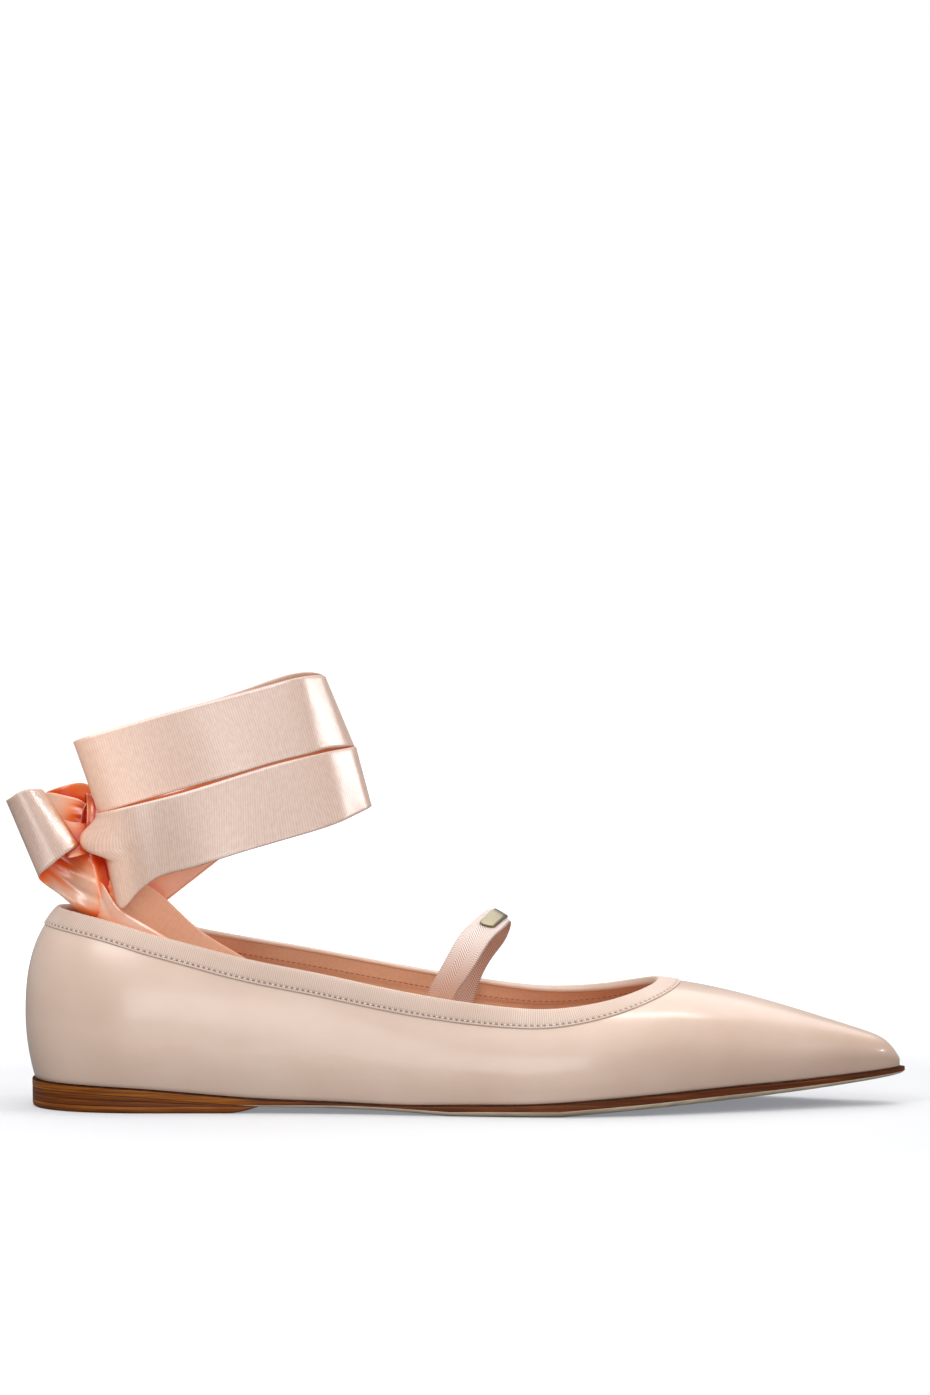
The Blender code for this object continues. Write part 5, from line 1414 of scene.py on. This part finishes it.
for piece in ribbons:
    across, closed, lit, shade = ribbon_sizes[piece]
    place, facing = of_points(piece, "co"), of_points(piece, "normal")
    helper = np.where(np.abs(facing[:, :1]) < 0.9, (1.0, 0.0, 0.0), (0.0, 1.0, 0.0))
    side_way = np.cross(facing, helper)
    side_way /= np.maximum(np.linalg.norm(side_way, axis=1, keepdims=True), 1e-9)
    up_way = np.cross(facing, side_way)
    hidden, close_hidden = np.zeros(len(place)), np.zeros(len(place))
    for ray in dome:
        aim = side_way * ray[0] + up_way * ray[1] + facing * ray[2]
        far = [sky.ray_cast(s, a, SKY_REACH)[3] for s, a in zip(place + facing * CLEAR, aim)]
        far = np.array([np.inf if f is None else f for f in far])
        hidden += np.where(far < SKY_REACH, 1.0 - (1.0 - FAR_WEIGHT) * ease(far, CLOSE_BY, FAR_OFF), 0.0)
        close_hidden += far < BEHIND_REACH
    hidden = softened((hidden / SKY_RAYS).reshape(-1, 2 * across + 2), across, closed)
    close_hidden = softened((close_hidden / SKY_RAYS).reshape(-1, 2 * across + 2), across, closed)
    others = (2 * across - np.arange(hidden.shape[1])) % hidden.shape[1]
    lit_behind = (1.0 - close_hidden[:, others]) * ease(shade * hidden, SHADED_FROM, SHADED_TO)
    keep_attribute(piece, "fold_depth", shade * hidden.ravel())
    keep_attribute(piece, "light_through", np.maximum(lit_behind, lit[:, None]).ravel())


# Studio: a white floor and white air. Soft light comes down from all over, with a softbox above the toe and
# two in front. The floor looks white and gives the shoe less light back than that, as a retouched studio
# sweep does. Its colour to the camera is painted darker near the shoe, which deepens its shadows there, and
# brighter away from it, and it has a painted glow to the camera that lifts its shadows.
FLOOR_BOUNCE, FLOOR_LIFT, FLOOR_HALF = 0.2, 0.26, 40000.0
NEAR_SEEN, AWAY_SEEN, NEAR, AWAY = 0.5, 0.95, 0.17, 0.42
UNDER_THE_BALL = 0.1, 0.0, 0.0
floor_paint, tree, shader = new_finish("studio_floor", Roughness=1.0, Specular_IOR_Level=0.0,
                                       Emission_Color=srgb("#f4f6ff"))
seen = node(tree, "ShaderNodeLightPath").outputs["Is Camera Ray"]
place = node(tree, "ShaderNodeTexCoord").outputs["Object"]
reach = node(tree, "ShaderNodeVectorMath", {0: place, 1: UNDER_THE_BALL}, operation="DISTANCE")
away = node(tree, "ShaderNodeMapRange", {0: reach.outputs["Value"], 1: NEAR, 2: AWAY, 3: NEAR_SEEN,
                                         4: AWAY_SEEN})
floor_with_painted_shade = node(tree, "ShaderNodeMix", {0: seen, 2: FLOOR_BOUNCE, 3: away.outputs[0]})
tree.links.new(floor_with_painted_shade.outputs[0], shader.inputs["Base Color"])
painted_floor_glow = node(tree, "ShaderNodeMath", {0: seen, 1: FLOOR_LIFT}, operation="MULTIPLY")
tree.links.new(painted_floor_glow.outputs[0], shader.inputs["Emission Strength"])
floor = build("studio_floor", [(-FLOOR_HALF, -FLOOR_HALF, 0.0), (FLOOR_HALF, -FLOOR_HALF, 0.0),
                               (FLOOR_HALF, FLOOR_HALF, 0.0), (-FLOOR_HALF, FLOOR_HALF, 0.0)],
              [(0, 1, 2, 3)], [floor_paint], smooth=False)

# The camera sees plain white behind the shoe, while the air lights it more weakly than that.
AIR_LIGHT, AIR_SEEN = 0.43, 1.0
world = bpy.data.worlds.new("studio_air")
bpy.context.scene.world = world
bpy.context.scene.view_settings.view_transform = "Standard"
world.use_nodes = True
air = world.node_tree.nodes["Background"]
air.inputs["Color"].default_value = (1.0, 1.0, 1.0, 1.0)
seen = node(world.node_tree, "ShaderNodeLightPath").outputs["Is Camera Ray"]
strength = node(world.node_tree, "ShaderNodeMix", {0: seen, 2: AIR_LIGHT, 3: AIR_SEEN})
world.node_tree.links.new(strength.outputs[0], air.inputs["Strength"])


def sky_panel(name, tilt, spread, brightness):
    """Soft light from a wide part of the sky, tilted towards the front by an angle in degrees."""
    lamp = bpy.data.lights.new(name, "SUN")
    lamp.energy = brightness
    lamp.angle = math.radians(spread)
    put_in_scene(name, lamp).rotation_euler = math.radians(tilt), 0.0, 0.0


sky_panel("sky_behind", -30.0, 60.0, 1.5)
sky_panel("sky_in_front", 35.0, 80.0, 0.86)


def turned_to(place, aim):
    """How a lamp at a place is turned to face a point."""
    return (Vector(aim) - Vector(place)).to_track_quat("-Z", "Y").to_euler()


def softbox(name, place, aim, size, watts):
    """A rectangular studio light at a place, turned to face a point."""
    lamp = bpy.data.lights.new(name, "AREA")
    lamp.shape = "RECTANGLE"
    lamp.size, lamp.size_y = size
    lamp.energy = watts
    holder = put_in_scene(name, lamp)
    holder.location = place
    holder.rotation_euler = turned_to(place, aim)
    holder.visible_camera = False


MIDDLE = (0.10, -0.02, 0.03)
softbox("key_softbox", (-0.15, -0.40, 0.45), MIDDLE, (0.3, 0.3), 1.36)
softbox("toe_softbox", (0.386, 0.06, 0.79), (0.154, -0.027, 0.03), (0.12, 0.28), 1.15)
softbox("low_fill", (0.05, -0.90, 0.12), MIDDLE, (0.5, 0.2), 1.43)

# A snoot from the right puts the white gloss on the ribbons' bends, and its cone stops short of the toe.
SNOOT_PLACE, TIED_RIBBONS = (1.16, -0.285, 0.65), (0.040, -0.005, 0.112)
snoot = bpy.data.lights.new("ribbon_snoot", "SPOT")
snoot.energy = 78.0
snoot.spot_size = math.radians(8.5)
snoot.spot_blend = 0.35
snoot.shadow_soft_size = 0.2
holder = put_in_scene("ribbon_snoot", snoot)
holder.location = SNOOT_PLACE
holder.rotation_euler = turned_to(SNOOT_PLACE, TIED_RIBBONS)

lens = bpy.data.cameras.new("studio_camera")
lens.lens = 150.0
lens.sensor_width = 36.0
lens.sensor_fit = "AUTO"
camera = put_in_scene("studio_camera", lens)
camera.location = (0.0988, -1.739, 0.195)
camera.rotation_euler = (math.radians(87.6), 0.0, 0.0)
bpy.context.scene.camera = camera
